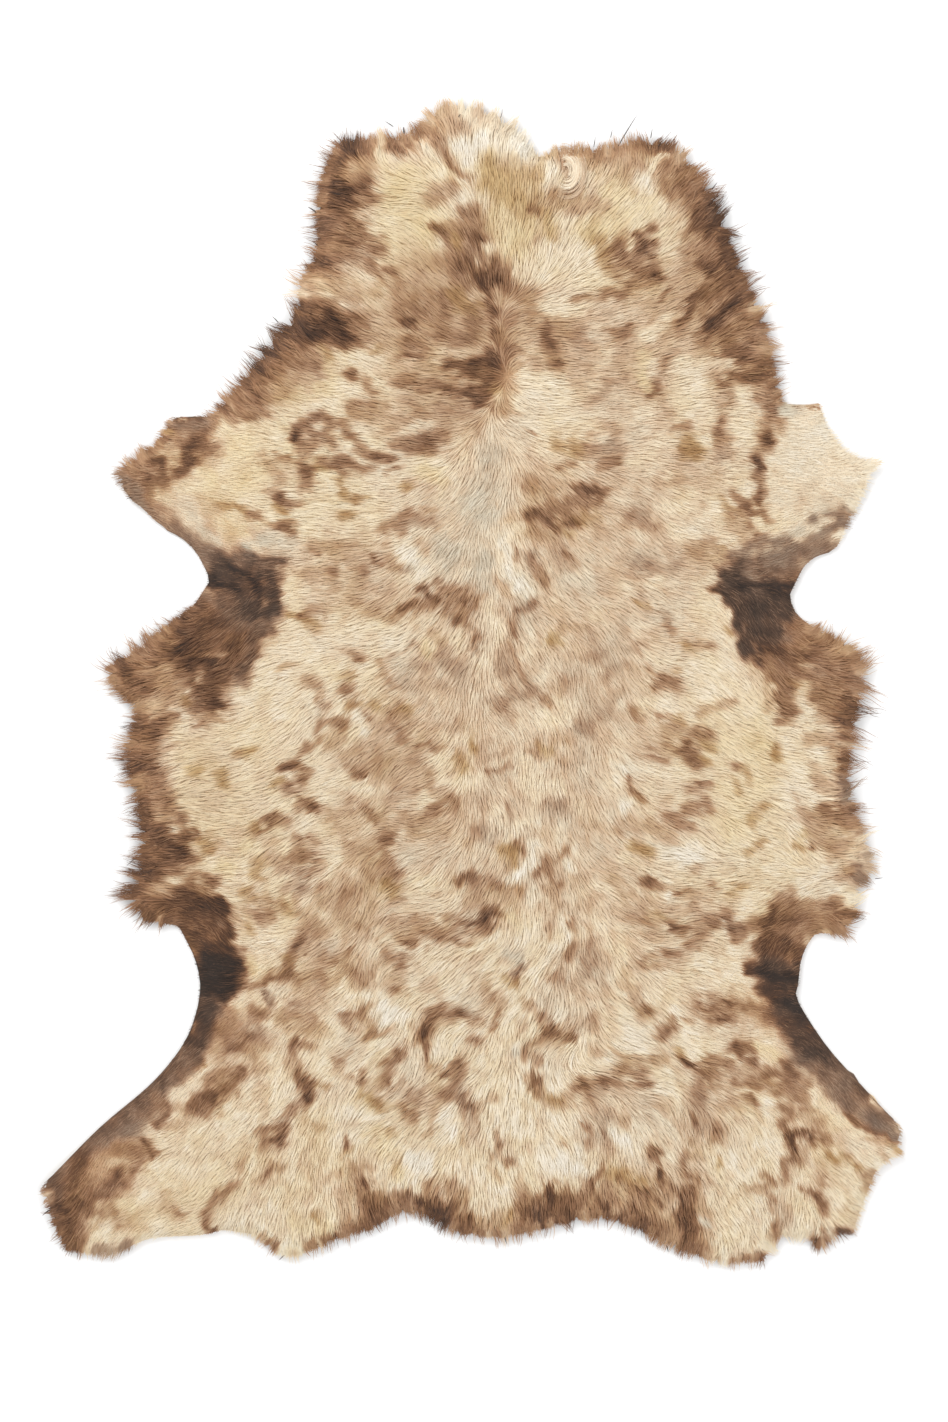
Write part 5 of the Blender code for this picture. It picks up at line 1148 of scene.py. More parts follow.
    ("slate", 190, 1042, 200, 1042, 7), ("hide", 182, 1054, 194, 1058, 7),
    ("hide", 170, 1068, 182, 1070, 7), ("hide", 154, 1086, 168, 1082, 7),
    # right hind notch and the dark strip down the leg
    # painted shade: the black line along the fold at the notch
    ("black", 762, 968, 794, 978, 4), ("dark", 770, 990, 796, 996, 8),
    ("black", 784, 1006, 800, 1014, 7), ("dark", 790, 1022, 810, 1030, 8),
    ("slate", 800, 1036, 822, 1044, 8), ("slate", 812, 1050, 834, 1058, 8),
    ("hide", 826, 1064, 850, 1074, 8), ("umber", 766, 934, 786, 944, 7),
    # left flank
    ("umber", 196, 652, 234, 646, 8), ("umber", 194, 668, 222, 664, 8),
    ("umber", 148, 656, 192, 648, 8), ("dark", 166, 650, 192, 645, 4),
    # left shoulder and the neck's ends
    ("brown", 264, 370, 248, 396, 9), ("tan", 276, 392, 300, 378, 10), ("plum", 398, 126, 424, 116, 9),
    ("tan", 428, 108, 456, 112, 7), ("tan", 598, 164, 640, 162, 11), ("brown", 586, 150, 636, 148, 6),
    ("brown", 506, 346, 500, 380, 6), ("tan", 512, 372, 506, 410, 7),
    # single spots over all the hide, from the neck down
    ("umber", 396, 132, 408, 132, 4), ("tan", 446, 128, 466, 134, 8), ("umber", 650, 134, 664, 136, 5),
    ("tan", 556, 206, 596, 208, 9), ("brown", 354, 234, 370, 243, 8), ("umber", 270, 350, 252, 378, 8),
    ("umber", 250, 382, 228, 406, 7), ("brown", 232, 404, 244, 412, 7),
    ("brown", 304, 426, 316, 432, 6), ("brown", 760, 402, 778, 424, 7),
    ("sand", 206, 500, 232, 545, 10), ("tan", 734, 520, 746, 535, 7), ("taupe", 190, 556, 200, 566, 5),
    ("umber", 190, 598, 200, 606, 6), ("hide", 236, 560, 280, 566, 6), ("dark", 188, 664, 214, 660, 5),
    ("umber", 122, 716, 130, 728, 6), ("tan", 208, 716, 228, 718, 7), ("umber", 150, 812, 160, 826, 7),
    ("tan", 150, 888, 170, 886, 5), ("tan", 262, 842, 276, 852, 8), ("brown", 254, 914, 270, 918, 6),
    ("cream", 238, 924, 241, 938, 4), ("butter", 248, 956, 252, 972, 5),
    ("pink", 400, 680, 430, 684, 8), ("tan", 392, 812, 418, 828, 9), ("tan", 622, 826, 676, 828, 8),
    ("tan", 616, 880, 626, 892, 8), ("brown", 826, 818, 848, 824, 7), ("taupe", 854, 864, 864, 880, 5),
    ("brown", 726, 915, 734, 940, 6), ("umber", 758, 946, 784, 950, 6),
    ("slate", 799, 964, 801, 978, 4), ("cream", 716, 990, 742, 996, 7),
    ("shell", 556, 956, 568, 966, 7), ("shell", 466, 1006, 486, 1014, 7),
    ("shell", 570, 1015, 580, 1032, 7), ("slate", 812, 1044, 830, 1066, 6),
    ("tan", 706, 1066, 752, 1070, 8), ("brown", 735, 1082, 756, 1084, 6),
    ("brown", 790, 1080, 806, 1084, 6), ("brown", 198, 1108, 212, 1112, 6),
    ("shell", 470, 1120, 478, 1138, 7), ("shell", 594, 1134, 600, 1146, 6),
    ("tan", 106, 1200, 124, 1222, 10), ("sand", 342, 1180, 348, 1206, 8),
    ("shell", 700, 1168, 706, 1186, 7), ("shell", 782, 1205, 788, 1225, 7),
    ("shell", 802, 1142, 808, 1160, 6), ("hide", 760, 574, 794, 570, 4),
    ("umber", 784, 650, 806, 664, 7), ("brown", 796, 672, 812, 680, 7),
    ("brown", 238, 398, 256, 412, 7), ("brown", 88, 1188, 112, 1188, 7),
    ("cream", 226, 714, 238, 722, 6), ("tan", 806, 810, 840, 850, 8), ("dark", 268, 352, 258, 366, 4),
    ("tan", 470, 894, 514, 898, 8), ("brown", 298, 842, 306, 860, 6),
    ("shell", 376, 1092, 398, 1098, 6), ("taupe", 868, 640, 872, 690, 5),
    ("taupe", 862, 700, 858, 740, 4), ("tan", 818, 832, 846, 868, 9), ("cream", 792, 786, 808, 800, 6),
)

patchSettings = {
    "base": "cream",
    "wanderWide": 3.5,  # how far the patch edges wander, in pixels
    "wideSize": 34.0,
    "wanderFine": 3.2,
    "fineSize": 11.0,
    "sleekReach": (1.0, 3.5),  # mm of wool past the edge, under which the hair there is short and sleek
    "sleekBand": (25.0, 60.0),  # mm inside the edge
    "sleekRagged": 0.2,  # share of the tearing left on sleek hair
    "tearSize": 15.0,
    "ragged": 0.85,  # how torn the edges are, as a share of a patch's half width
    "raggedUpTo": 10.0,  # pixels of half width past which the tearing grows no more
    "fieldSoftness": 0.8,
    "patchSoftness": 0.8,
    "patchStrength": 0.85,
    "mottle": 0.08,
    "mottleSize": 15.0,
    "fleckStrength": 0.13,
    "fleckSize": 26.0,
    "paleVeins": 0.12,
    "veinSize": 30.0,
    "curlLight": 0.07,  # the lit side of the curls, and the shade beside it
    "curlShade": 0.08,
    "curlSize": 27.0,
    "warmthUneven": 0.12,
    "warmthSize": 30.0,
}


# Lays one tone over the places near a line of two or more points
def stampTone(dark, warm, x, y, torn, row, softness, strength):
    points = list(zip(row[1:-1:2], row[2:-1:2]))
    half = row[-1]
    outer = half * (1.4 + softness)
    acrossX, acrossY = [p[0] for p in points], [p[1] for p in points]
    near = ((x > min(acrossX) - outer) & (x < max(acrossX) + outer)
            & (y > min(acrossY) - outer) & (y < max(acrossY) + outer))
    where = np.nonzero(near)[0]
    if not len(where):
        return
    away = np.full(len(where), 1e6)
    for (x1, y1), (x2, y2) in zip(points, points[1:]):
        px, py = x[where] - x1, y[where] - y1
        runX, runY = x2 - x1, y2 - y1
        along = np.clip((px * runX + py * runY) / max(runX * runX + runY * runY, 1e-6), 0, 1)
        away = np.minimum(away, np.hypot(px - along * runX, py - along * runY))
    tear = patchSettings["ragged"] * min(half, patchSettings["raggedUpTo"])
    away = (away + tear * torn[where]) / half
    share = strength * (1 - smoothStep(away, 1 - softness, 1 + softness))
    tone = tones[row[0]]
    dark[where] = mix(dark[where], tone[0], share)
    warm[where] = mix(warm[where], tone[1], share)


# How dark and how warm the wool is at each place of the hide
def pigment(x, y):
    px, py = toPhoto(np.asarray(x, float), np.asarray(y, float))
    s = patchSettings
    wide, fine = s["wideSize"], s["fineSize"]
    wx = px + s["wanderWide"] * hills(px, py, wide, 21, 2) + s["wanderFine"] * hills(px, py, fine, 31, 2)
    wy = py + s["wanderWide"] * hills(px, py, wide, 41, 2) + s["wanderFine"] * hills(px, py, fine, 51, 2)
    # short sleek hair beside the bare edges has smooth patches
    sleek = 1 - smoothStep(readMap(reachNear, x, y), *s["sleekReach"])
    sleek = sleek * (1 - smoothStep(readMap(depthIn, x, y), *s["sleekBand"]))
    torn = hills(px, py, s["tearSize"], 101, 4) * mix(1, s["sleekRagged"], sleek)
    dark = np.full(px.shape, tones[s["base"]][0])
    warm = np.full(px.shape, tones[s["base"]][1])
    for row in toneFields:
        stampTone(dark, warm, wx, wy, torn, row[:-1], s["fieldSoftness"], row[-1])
    # islands and veins where the tone is middling
    middling = smoothStep(dark, 0.14, 0.3) * (1 - smoothStep(dark, 0.6, 0.85))
    islands = smoothStep(hills(wx, wy, s["fleckSize"], 61, 3), 0.2, 0.8)
    dark += s["fleckStrength"] * islands * middling
    veins = smoothStep(hills(wx, wy, s["veinSize"], 71, 3), 0.15, 0.8)
    dark -= s["paleVeins"] * veins * middling
    for row in patches:
        stampTone(dark, warm, wx, wy, torn, row, s["patchSoftness"], s["patchStrength"])
    # curls: painted light on one side, painted shade on the other
    curl = hills(wx, wy, s["curlSize"], 111, 3)
    woolly = (1 - smoothStep(dark, 0.5, 0.8)) * mix(0.5, 1, smoothStep(py, 750, 1000)) * (1 - sleek)
    paintedLight = smoothStep(curl, -0.7, -0.25) * (1 - smoothStep(curl, -0.25, 0.1))
    shaded = smoothStep(curl, -0.1, 0.25) * (1 - smoothStep(curl, 0.25, 0.7))
    dark += woolly * (s["curlShade"] * shaded - s["curlLight"] * paintedLight)
    clouded = mix(0.4, 1, smoothStep(dark, 0.12, 0.3)) * (1 - smoothStep(dark, 0.8, 0.95))
    dark += s["mottle"] * hills(px, py, s["mottleSize"], 81, 3) * clouded
    warm += s["warmthUneven"] * hills(px, py, s["warmthSize"], 91, 2)
    return np.clip(dark, 0, 1), np.clip(warm, 0, 1)


# Materials
def newMaterial(name):
    material = bpy.data.materials.new(name)
    material.use_nodes = True
    tree = material.node_tree
    return material, tree, tree.nodes["Principled BSDF"]


# A colour in sRGB, 0 to 255, as the linear colour that a shader takes
def linear(rgb):
    return tuple(((c / 255 + 0.055) / 1.055) ** 2.4 if c > 10 else c / 3294 for c in rgb) + (1.0,)


woolColours = {
    # how dark: colour in sRGB
    "grey": ((0.0, (232, 229, 219)), (0.14, (218, 211, 194)), (0.3, (193, 184, 163)),
             (0.5, (158, 140, 121)), (0.66, (126, 105, 89)), (0.8, (90, 74, 62)), (1.0, (46, 37, 31))),
    "plain": ((0.0, (243, 235, 220)), (0.14, (235, 220, 193)), (0.3, (216, 189, 158)),
              (0.5, (184, 146, 113)), (0.66, (145, 104, 74)), (0.8, (102, 69, 47)), (1.0, (47, 34, 27))),
    "golden": ((0.0, (240, 226, 190)), (0.14, (231, 212, 167)), (0.3, (213, 186, 137)),
               (0.5, (184, 145, 93)), (0.66, (145, 104, 60)), (0.8, (102, 71, 41)), (1.0, (47, 35, 26))),
}


def toneRamp(tree, value, stops):
    ramp = tree.nodes.new("ShaderNodeValToRGB")
    ramp.color_ramp.interpolation = "LINEAR"
    elements = ramp.color_ramp.elements
    while len(elements) > 1:
        elements.remove(elements[-1])
    elements[0].position = stops[0][0]
    elements[0].color = linear(stops[0][1])
    for place, rgb in stops[1:]:
        elements.new(place).color = linear(rgb)
    tree.links.new(value, ramp.inputs["Fac"])
    return ramp.outputs["Color"]


def blendColours(tree, share, first, second):
    node = tree.nodes.new("ShaderNodeMix")
    node.data_type = "RGBA"
    tree.links.new(share, node.inputs["Factor"])
    tree.links.new(first, node.inputs["A"])
    tree.links.new(second, node.inputs["B"])
    return node.outputs["Result"]


def multiplied(tree, colour, shade, share):
    node = tree.nodes.new("ShaderNodeMix")
    node.data_type = "RGBA"
    node.blend_type = "MULTIPLY"
    node.inputs["Factor"].default_value = share
    tree.links.new(colour, node.inputs["A"])
    tree.links.new(shade, node.inputs["B"])
    return node.outputs["Result"]


def objectNoise(tree, scale, detail):
    where = tree.nodes.new("ShaderNodeTexCoord")
    noise = tree.nodes.new("ShaderNodeTexNoise")
    noise.inputs["Scale"].default_value = scale
    noise.inputs["Detail"].default_value = detail
    tree.links.new(where.outputs["Object"], noise.inputs["Vector"])
    return noise.outputs["Fac"]


def addBump(tree, shader, height, strength, distance):
    bump = tree.nodes.new("ShaderNodeBump")
    bump.inputs["Strength"].default_value = strength
    bump.inputs["Distance"].default_value = distance
    tree.links.new(height, bump.inputs["Height"])
    tree.links.new(bump.outputs["Normal"], shader.inputs["Normal"])


def splitUv(tree, uvName):
    chart = tree.nodes.new("ShaderNodeUVMap")
    chart.uv_map = uvName
    split = tree.nodes.new("ShaderNodeSeparateXYZ")
    tree.links.new(chart.outputs["UV"], split.inputs["Vector"])
    return split.outputs["X"], split.outputs["Y"]


# The wool's colour from its tone chart: across it how dark, up it how warm
def chartColour(tree, uvName):
    howDark, howWarm = splitUv(tree, uvName)
    coolShare = tree.nodes.new("ShaderNodeMapRange")
    coolShare.inputs["From Min"].default_value = 0.0
    coolShare.inputs["From Max"].default_value = 0.5
    warmShare = tree.nodes.new("ShaderNodeMapRange")
    warmShare.inputs["From Min"].default_value = 0.5
    warmShare.inputs["From Max"].default_value = 1.0
    for node in (coolShare, warmShare):
        tree.links.new(howWarm, node.inputs["Value"])
    grey, plain, golden = (toneRamp(tree, howDark, woolColours[k]) for k in ("grey", "plain", "golden"))
    cool = blendColours(tree, coolShare.outputs["Result"], grey, plain)
    return blendColours(tree, warmShare.outputs["Result"], cool, golden)


def makeWoolMaterial():
    material, tree, shader = newMaterial("combedWool")
    tree.links.new(chartColour(tree, "OFBake"), shader.inputs["Base Color"])
    shader.inputs["Roughness"].default_value = 0.62
    shader.inputs["Specular IOR Level"].default_value = 0.25
    shader.inputs["Sheen Weight"].default_value = 0.12
    shader.inputs["Sheen Roughness"].default_value = 0.5
    return material


def makeUnderwoolMaterial():
    material, tree, shader = newMaterial("underwool")
    fibres = objectNoise(tree, 700.0, 3.0)
    # painted shade: the fibre noise darkens the colour, as in the gaps deep in the pile
    depth = toneRamp(tree, fibres, ((0.3, (150, 140, 130)), (0.6, (245, 240, 235))))
    colour = multiplied(tree, chartColour(tree, "tone"), depth, 0.6)
    tree.links.new(colour, shader.inputs["Base Color"])
    addBump(tree, shader, fibres, 0.7, 0.0012)
    shader.inputs["Roughness"].default_value = 0.9
    return material


def makeSkinMaterial():
    material, tree, shader = newMaterial("tannedSkin")
    nap = objectNoise(tree, 900.0, 4.0)
    clouds = objectNoise(tree, 14.0, 5.0)
    tans = (0.3, (186, 158, 122)), (0.52, (212, 188, 154)), (0.7, (224, 204, 174))
    suede = toneRamp(tree, clouds, tans)
    fibre = toneRamp(tree, nap, ((0.3, (205, 198, 188)), (0.65, (255, 252, 248))))
    fleshSide = multiplied(tree, suede, fibre, 0.8)
    under = splitUv(tree, "side")[0]
    colour = blendColours(tree, under, chartColour(tree, "tone"), fleshSide)
    tree.links.new(colour, shader.inputs["Base Color"])
    addBump(tree, shader, nap, 0.5, 0.0004)
    shader.inputs["Roughness"].default_value = 0.88
    shader.inputs["Sheen Weight"].default_value = 0.25
    return material


woolMaterial = makeWoolMaterial()
underwoolMaterial = makeUnderwoolMaterial()
skinMaterial = makeSkinMaterial()


def nothingSelected():
    bpy.ops.object.select_all(action="DESELECT")


def selectOnly(piece):
    nothingSelected()
    piece.select_set(True)
    bpy.context.view_layer.objects.active = piece


# A flat grid trimmed to the skin's edge or a line inside it, with spacing and inset in mm
def trimmedGrid(name, spacing, inset):
    nothingSelected()
    width = gridHigh[0] - gridLow[0]
    length = gridHigh[1] - gridLow[1]
    columns, rows = int(width / spacing), int(length / spacing)
    bpy.ops.mesh.primitive_grid_add(x_subdivisions=columns, y_subdivisions=rows, size=1)
    sheet = bpy.context.object
    sheet.name = name
    sheet.data.name = name
    sheet.scale = (width * mm, length * mm, 1)
    bpy.ops.object.transform_apply(location=False, rotation=False, scale=True)
    count = len(sheet.data.vertices)
    places = np.empty(count * 3)
    sheet.data.vertices.foreach_get("co", places)
    places = places.reshape(-1, 3) / mm
    depth = readMap(depthIn, places[:, 0], places[:, 1])
    bpy.ops.object.mode_set(mode="EDIT")
    bpy.ops.mesh.select_all(action="DESELECT")
    bpy.ops.object.mode_set(mode="OBJECT")
    sheet.data.vertices.foreach_set("select", depth < inset - spacing * 0.2)
    bpy.ops.object.mode_set(mode="EDIT")
    bpy.ops.mesh.delete(type="VERT")
    bpy.ops.mesh.select_all(action="SELECT")
    bpy.ops.mesh.quads_convert_to_tris()
    bpy.ops.object.mode_set(mode="OBJECT")
    # the outermost points go to the edge itself
    body = bmesh.new()
    body.from_mesh(sheet.data)
    lonely = [v for v in body.verts if not v.link_faces]
    bmesh.ops.delete(body, geom=lonely, context="VERTS")
    border = [v for v in body.verts if v.is_boundary]
    for vert in border:
        x, y = vert.co.x / mm, vert.co.y / mm
        place, index = edgeTree.find((x, y, 0))[:2]
        outward = edgeOutward[index]
        vert.co.x = (place.x - outward[0] * inset) * mm
        vert.co.y = (place.y - outward[1] * inset) * mm
    inner = [v for v in body.verts if not v.is_boundary
             and any(e.other_vert(v).is_boundary for e in v.link_edges)]
    bmesh.ops.smooth_vert(body, verts=inner, factor=0.5, use_axis_x=True, use_axis_y=True)
    body.normal_update()
    for face in body.faces:
        if face.normal.z < 0:
            face.normal_flip()
    body.to_mesh(sheet.data)
    body.free()
    return sheet


def getPlaces(piece):
    places = np.empty(len(piece.data.vertices) * 3)
    piece.data.vertices.foreach_get("co", places)
    return places.reshape(-1, 3) / mm


def setPlaces(piece, places):
    piece.data.vertices.foreach_set("co", (places * mm).astype(np.float32).ravel())
    piece.data.update()


# Writes a UV map from a pair of values at each vertex
def addUvMap(mesh, name, uv):
    corners = np.empty(len(mesh.loops), dtype=np.int32)
    mesh.loops.foreach_get("vertex_index", corners)
    layer = mesh.uv_layers.new(name=name)
    layer.data.foreach_set("uv", uv[corners].astype(np.float32).ravel())


# The wool's tone at a place, or at the given distance inside the edge where the place is nearer to it
def toneInside(x, y, inset):
    inward = np.clip(inset - readMap(depthIn, x, y), 0, 60)
    return pigment(x - readMap(outX, x, y) * inward, y - readMap(outY, x, y) * inward)


# The tanned skin, with its cut edge and suede underside
skinSettings = {
    "spacing": 10.0,
    "thickness": 2.0,
    "handle": 0.15,  # mm, slight unevenness of the flesh side
    "toneInset": 4.0,  # mm inside the edge from which the cut edge takes its tone
    "darker": 0.12,
    "warmth": 0.7,
}


# The upper side and the cut edge are as dark as the wool there, and the underside is plain suede
def toneSkin(skin):
    mesh = skin.data
    places = getPlaces(skin)
    dark, warm = toneInside(places[:, 0], places[:, 1], skinSettings["toneInset"])
    dark = np.clip(dark + skinSettings["darker"], 0, 1)
    addUvMap(mesh, "tone", np.stack([dark, warm * skinSettings["warmth"]], axis=1))
    side = mesh.uv_layers.new(name="side")
    for face in mesh.polygons:
        under = 1.0 if face.normal.z < -0.5 else 0.0
        for corner in face.loop_indices:
            side.data[corner].uv = (under, 0.5)


def makeSkin():
    skin = trimmedGrid("tannedSkin", skinSettings["spacing"], 0.0)
    places = getPlaces(skin)
    lift = readMap(skinLift, places[:, 0], places[:, 1])
    uneven = skinSettings["handle"] * (1 + hills(places[:, 0], places[:, 1], 40, 5))
    places[:, 2] = np.maximum(lift, 0) + uneven
    setPlaces(skin, places)
    selectOnly(skin)
    solidify = skin.modifiers.new("thickness", "SOLIDIFY")
    solidify.thickness = skinSettings["thickness"] * mm
    solidify.offset = 1.0
    bpy.ops.object.modifier_apply(modifier="thickness")
    bpy.ops.object.shade_smooth_by_angle(angle=math.radians(50))
    toneSkin(skin)
    skin.data.materials.append(skinMaterial)
    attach(skin, "root")
    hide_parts("sheepskin")
    return skin


print("skin")
skin = makeSkin()

# The dense wool under the combed ends, which closes the gaps between the strands
underwoolSettings = {
    "spacing": 4.8,
    "inset": 1.2,
    "overSkin": 0.25,  # mm
    "fill": 0.78,  # share of the pile's height
    "fillAtEdge": 0.12,
    "rollIn": 9.0,
    "tuft": 0.6,
    "tuftSize": 9.0,
    # painted shade of the wool deep under the strands
    "darker": 0.07,
}


def underHeight(x, y):
    s = underwoolSettings
    lift = np.maximum(readMap(skinLift, x, y), 0) + edgeSettings["skinThickness"]
    top = readMap(woolHeight, x, y)
    rollIn = smoothStep(readMap(depthIn, x, y), 0, s["rollIn"])
    return lift + s["overSkin"] + np.maximum(top - lift, 0) * s["fill"] * mix(s["fillAtEdge"], 1, rollIn)


def makeUnderwool():
    base = trimmedGrid("underwool", underwoolSettings["spacing"], underwoolSettings["inset"])
    places = getPlaces(base)
    x, y = places[:, 0], places[:, 1]
    tufts = hills(x, y, underwoolSettings["tuftSize"], 7, 2) * smoothStep(readMap(depthIn, x, y), 3, 12)
    places[:, 2] = underHeight(x, y) + underwoolSettings["tuft"] * tufts
    setPlaces(base, places)
    dark, warm = pigment(x, y)
    mesh = base.data
    while mesh.uv_layers:
        mesh.uv_layers.remove(mesh.uv_layers[0])
    span = (gridHigh - gridLow).max()
    addUvMap(mesh, "OFBake", np.stack([(x - gridLow[0]) / span, (y - gridLow[1]) / span], axis=1))
    # the dense wool is toned darker: painted shade of the depth of the pile
    addUvMap(mesh, "tone", np.stack([np.clip(dark + underwoolSettings["darker"], 0, 1), warm], axis=1))
    selectOnly(base)
    bpy.ops.object.shade_smooth()
    mesh.materials.append(underwoolMaterial)
    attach(base, "root")
    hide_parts("sheepskin")
    return base


print("underwool")
underwool = makeUnderwool()

# The wool itself: ribbons as thin as a few hairs, gathered in tufts and combed along the flow
woolSettings = {
    "strands": 152000,
    "rimStrands": 20000,
    "rimBand": (0.5, 11.0),  # mm inside the edge where the rim's strands root
    "width": 0.85,  # mm at the widest
    "rimWidth": 0.55,
    "lengthToPile": 0.55,
    "shortest": 7.0,
    "longest": 34.0,
    "shagBand": 42.0,  # mm from a woolly edge in which the wool is left longer
    "shagLength": 1.7,
    "tuftSpacing": 9.0,
    "tuftPull": 0.16,
    "shagPull": 0.5,
    "rimPull": 0.55,  # share of the pull that the rim's strands keep
    "pullWithin": 14.0,  # mm to the middle of a tuft
    "tuftTurn": 4.0,  # degrees
    "shagTurn": 9.0,
    "rimTurn": 14.0,
    "strandTurn": 6.0,
    "wave": 0.6,
    "waveLength": 26.0,
    "waveUneven": 0.35,
    "roll": 9.0,
    "toneAt": 0.6,  # where along a strand its own tone is read
    "toneOfPlace": 0.6,
    "toneInset": 3.5,  # mm inside the edge from which the rim takes its tone
    "strandTone": 0.014,
    "darkUneven": 4.5,
    "tuftTone": 0.01,
    "rootShade": 0.04,
    "lockSpacing": (3.0, 13.0),  # mm between the pointed locks of the rim
    "lockReach": (0.5, 1.75),
    "thinLoss": 0.75,  # share of the reach that is lost where the rim is thin
    "longHairs": 0.08,  # share of single hairs in the rim that reach further
    "proudHairs": 0.02,  # share of hairs that stand out of the surface
    "rootLevel": 0.78,  # where in the pile a strand leaves the dense wool
    "lowest": 0.35,  # mm over the floor
    "overEdge": 0.7,  # mm, how high hair lies on the skin's edge
}
rng = np.random.default_rng(5)
swirlRng = np.random.default_rng(9)


def evenScatter(count):
    step = math.sqrt(skinArea / count)
    gx = np.arange(gridLow[0], gridHigh[0], step)
    gy = np.arange(gridLow[1], gridHigh[1], step)
    x, y = np.meshgrid(gx, gy)
    x, y = x.ravel(), y.ravel()
    x = x + rng.uniform(-0.5, 0.5, x.shape) * step
    y = y + rng.uniform(-0.5, 0.5, y.shape) * step
    keep = readMap(depthIn, x, y) > 0.6
    return x[keep], y[keep]


def scatterAtRim(count):
    woolly = np.clip(edgeReach - 1.5, 0, None)
    odds = np.clip(woolly, 0, 6)
    odds = odds / odds.sum()
    pick = rng.choice(len(edgePlace), count, p=odds)
    inward = rng.uniform(*woolSettings["rimBand"], count)
    along = rng.uniform(-1, 1, count)
    side = np.stack([-edgeOutward[pick, 1], edgeOutward[pick, 0]], axis=1)
    place = edgePlace[pick] - edgeOutward[pick] * inward[:, None] + side * along[:, None]
    keep = readMap(depthIn, place[:, 0], place[:, 1]) > 0.3
    return place[keep, 0], place[keep, 1]


# Follows the flow from each root, with every strand turned by its own angle
def followFlow(x, y, length, turn, segments):
    xs, ys = [x], [y]
    cosTurn, sinTurn = np.cos(turn), np.sin(turn)
    for _ in range(segments):
        hx, hy = readMap(flowX, x, y), readMap(flowY, x, y)
        norm = np.hypot(hx, hy) + 1e-6
        hx, hy = hx / norm, hy / norm
        x = x + (hx * cosTurn - hy * sinTurn) * length / segments
        y = y + (hx * sinTurn + hy * cosTurn) * length / segments
        xs.append(x)
        ys.append(y)
    return np.array(xs), np.array(ys)


# The height of the wool's surface, which droops to the floor past the edge
def surfaceHeight(x, y):
    depth = readMap(depthIn, x, y)
    top = readMap(woolHeight, x, y)
    reach = readMap(reachNear, x, y)
    edge = edgeSettings["skinThickness"] + edgeSettings["riseOfWool"] * reach
    edge = edge + np.maximum(readMap(skinLift, x, y), 0)
    droop = np.clip(-depth / (reach * 1.6 + 5), 0, 1)
    outside = edge * (1 - droop ** 1.4) + woolSettings["overEdge"]
    return np.where(depth > 0, top, np.minimum(outside, edge + woolSettings["overEdge"]))


# Tufts that strands gather in: their places and how each leans, lies and is toned
def makeTufts(x, y, spacing):
    tree = kdtree.KDTree(len(x))
    for index in range(len(x)):
        tree.insert((x[index], y[index], 0), index)
    tree.balance()
    low, high = woolSettings["lockReach"]
    return {
        "x": x,
        "y": y,
        "tree": tree,
        "spacing": spacing,
        "turn": swirlRng.normal(0, math.radians(1), len(x)),
        "tone": swirlRng.normal(0, woolSettings["tuftTone"], len(x)),
        "rise": swirlRng.normal(0, 0.3, len(x)),
        "reach": swirlRng.uniform(low, high, len(x)),
    }


def nearestTuft(tufts, x, y):
    find = tufts["tree"].find
    return np.array([find((a, b, 0))[1] for a, b in zip(x.tolist(), y.tolist())])


# The middles of the rim's locks, at uneven steps along the edge and a little inside it
def placeLocks():
    low, high = woolSettings["lockSpacing"]
    x, y, gaps, walked, gap = [], [], [], 0.0, 5.0
    for index in range(1, len(edgePlace)):
        walked += np.linalg.norm(edgePlace[index] - edgePlace[index - 1])
        if walked < gap:
            continue
        x.append(edgePlace[index][0] - edgeOutward[index][0] * 4)
        y.append(edgePlace[index][1] - edgeOutward[index][1] * 4)
        gaps.append(walked)
        walked, gap = 0.0, swirlRng.uniform(low, high)
    return np.array(x), np.array(y), np.array(gaps)


bodyX, bodyY = evenScatter(int(skinArea / woolSettings["tuftSpacing"] ** 2))
bodyTufts = makeTufts(bodyX, bodyY, np.full(len(bodyX), woolSettings["tuftSpacing"]))
rimTufts = makeTufts(*placeLocks())


# How shaggy the wool is: long and tufted at woolly edges, sleek on the back and in the notches
def shagAt(x, y):
    woolly = np.clip(readMap(reachNear, x, y) / 9, 0, 1.2)
    return woolly * (1 - smoothStep(readMap(depthIn, x, y), 8, woolSettings["shagBand"]))


def strandLength(x, y, shag):
    lift = np.maximum(readMap(skinLift, x, y), 0)
    pile = readMap(woolHeight, x, y) - lift
    length = (pile * woolSettings["lengthToPile"] + 3) * mix(1, woolSettings["shagLength"], shag)
    return np.clip(length, woolSettings["shortest"], woolSettings["longest"])


# Places where only thin wisps hang past the edge, in the photograph's pixels: x y radius
thinRim = (
    (316, 180, 46), (312, 240, 42), (300, 292, 24), (252, 358, 30), (232, 385, 28), (725, 200, 26),
    (740, 250, 34), (754, 290, 30), (774, 330, 28), (781, 370, 32), (835, 634, 28), (868, 658, 24),
    (862, 712, 34), (856, 770, 42), (866, 820, 24), (165, 624, 30), (124, 660, 26), (102, 684, 26),
    (118, 750, 22), (84, 1252, 24), (54, 1224, 20), (300, 1246, 34), (345, 1236, 30),
    (390, 1222, 34), (490, 1238, 46), (560, 1226, 40), (620, 1226, 40), (705, 1262, 24),
    (755, 1266, 26),
)


def thinAt(x, y):
    px, py = toPhoto(x, y)
    thin = np.zeros(len(x))
    for middleX, middleY, radius in thinRim:
        thin = np.maximum(thin, 1 - smoothStep(np.hypot(px - middleX, py - middleY), 0.5 * radius, radius))
    return thin


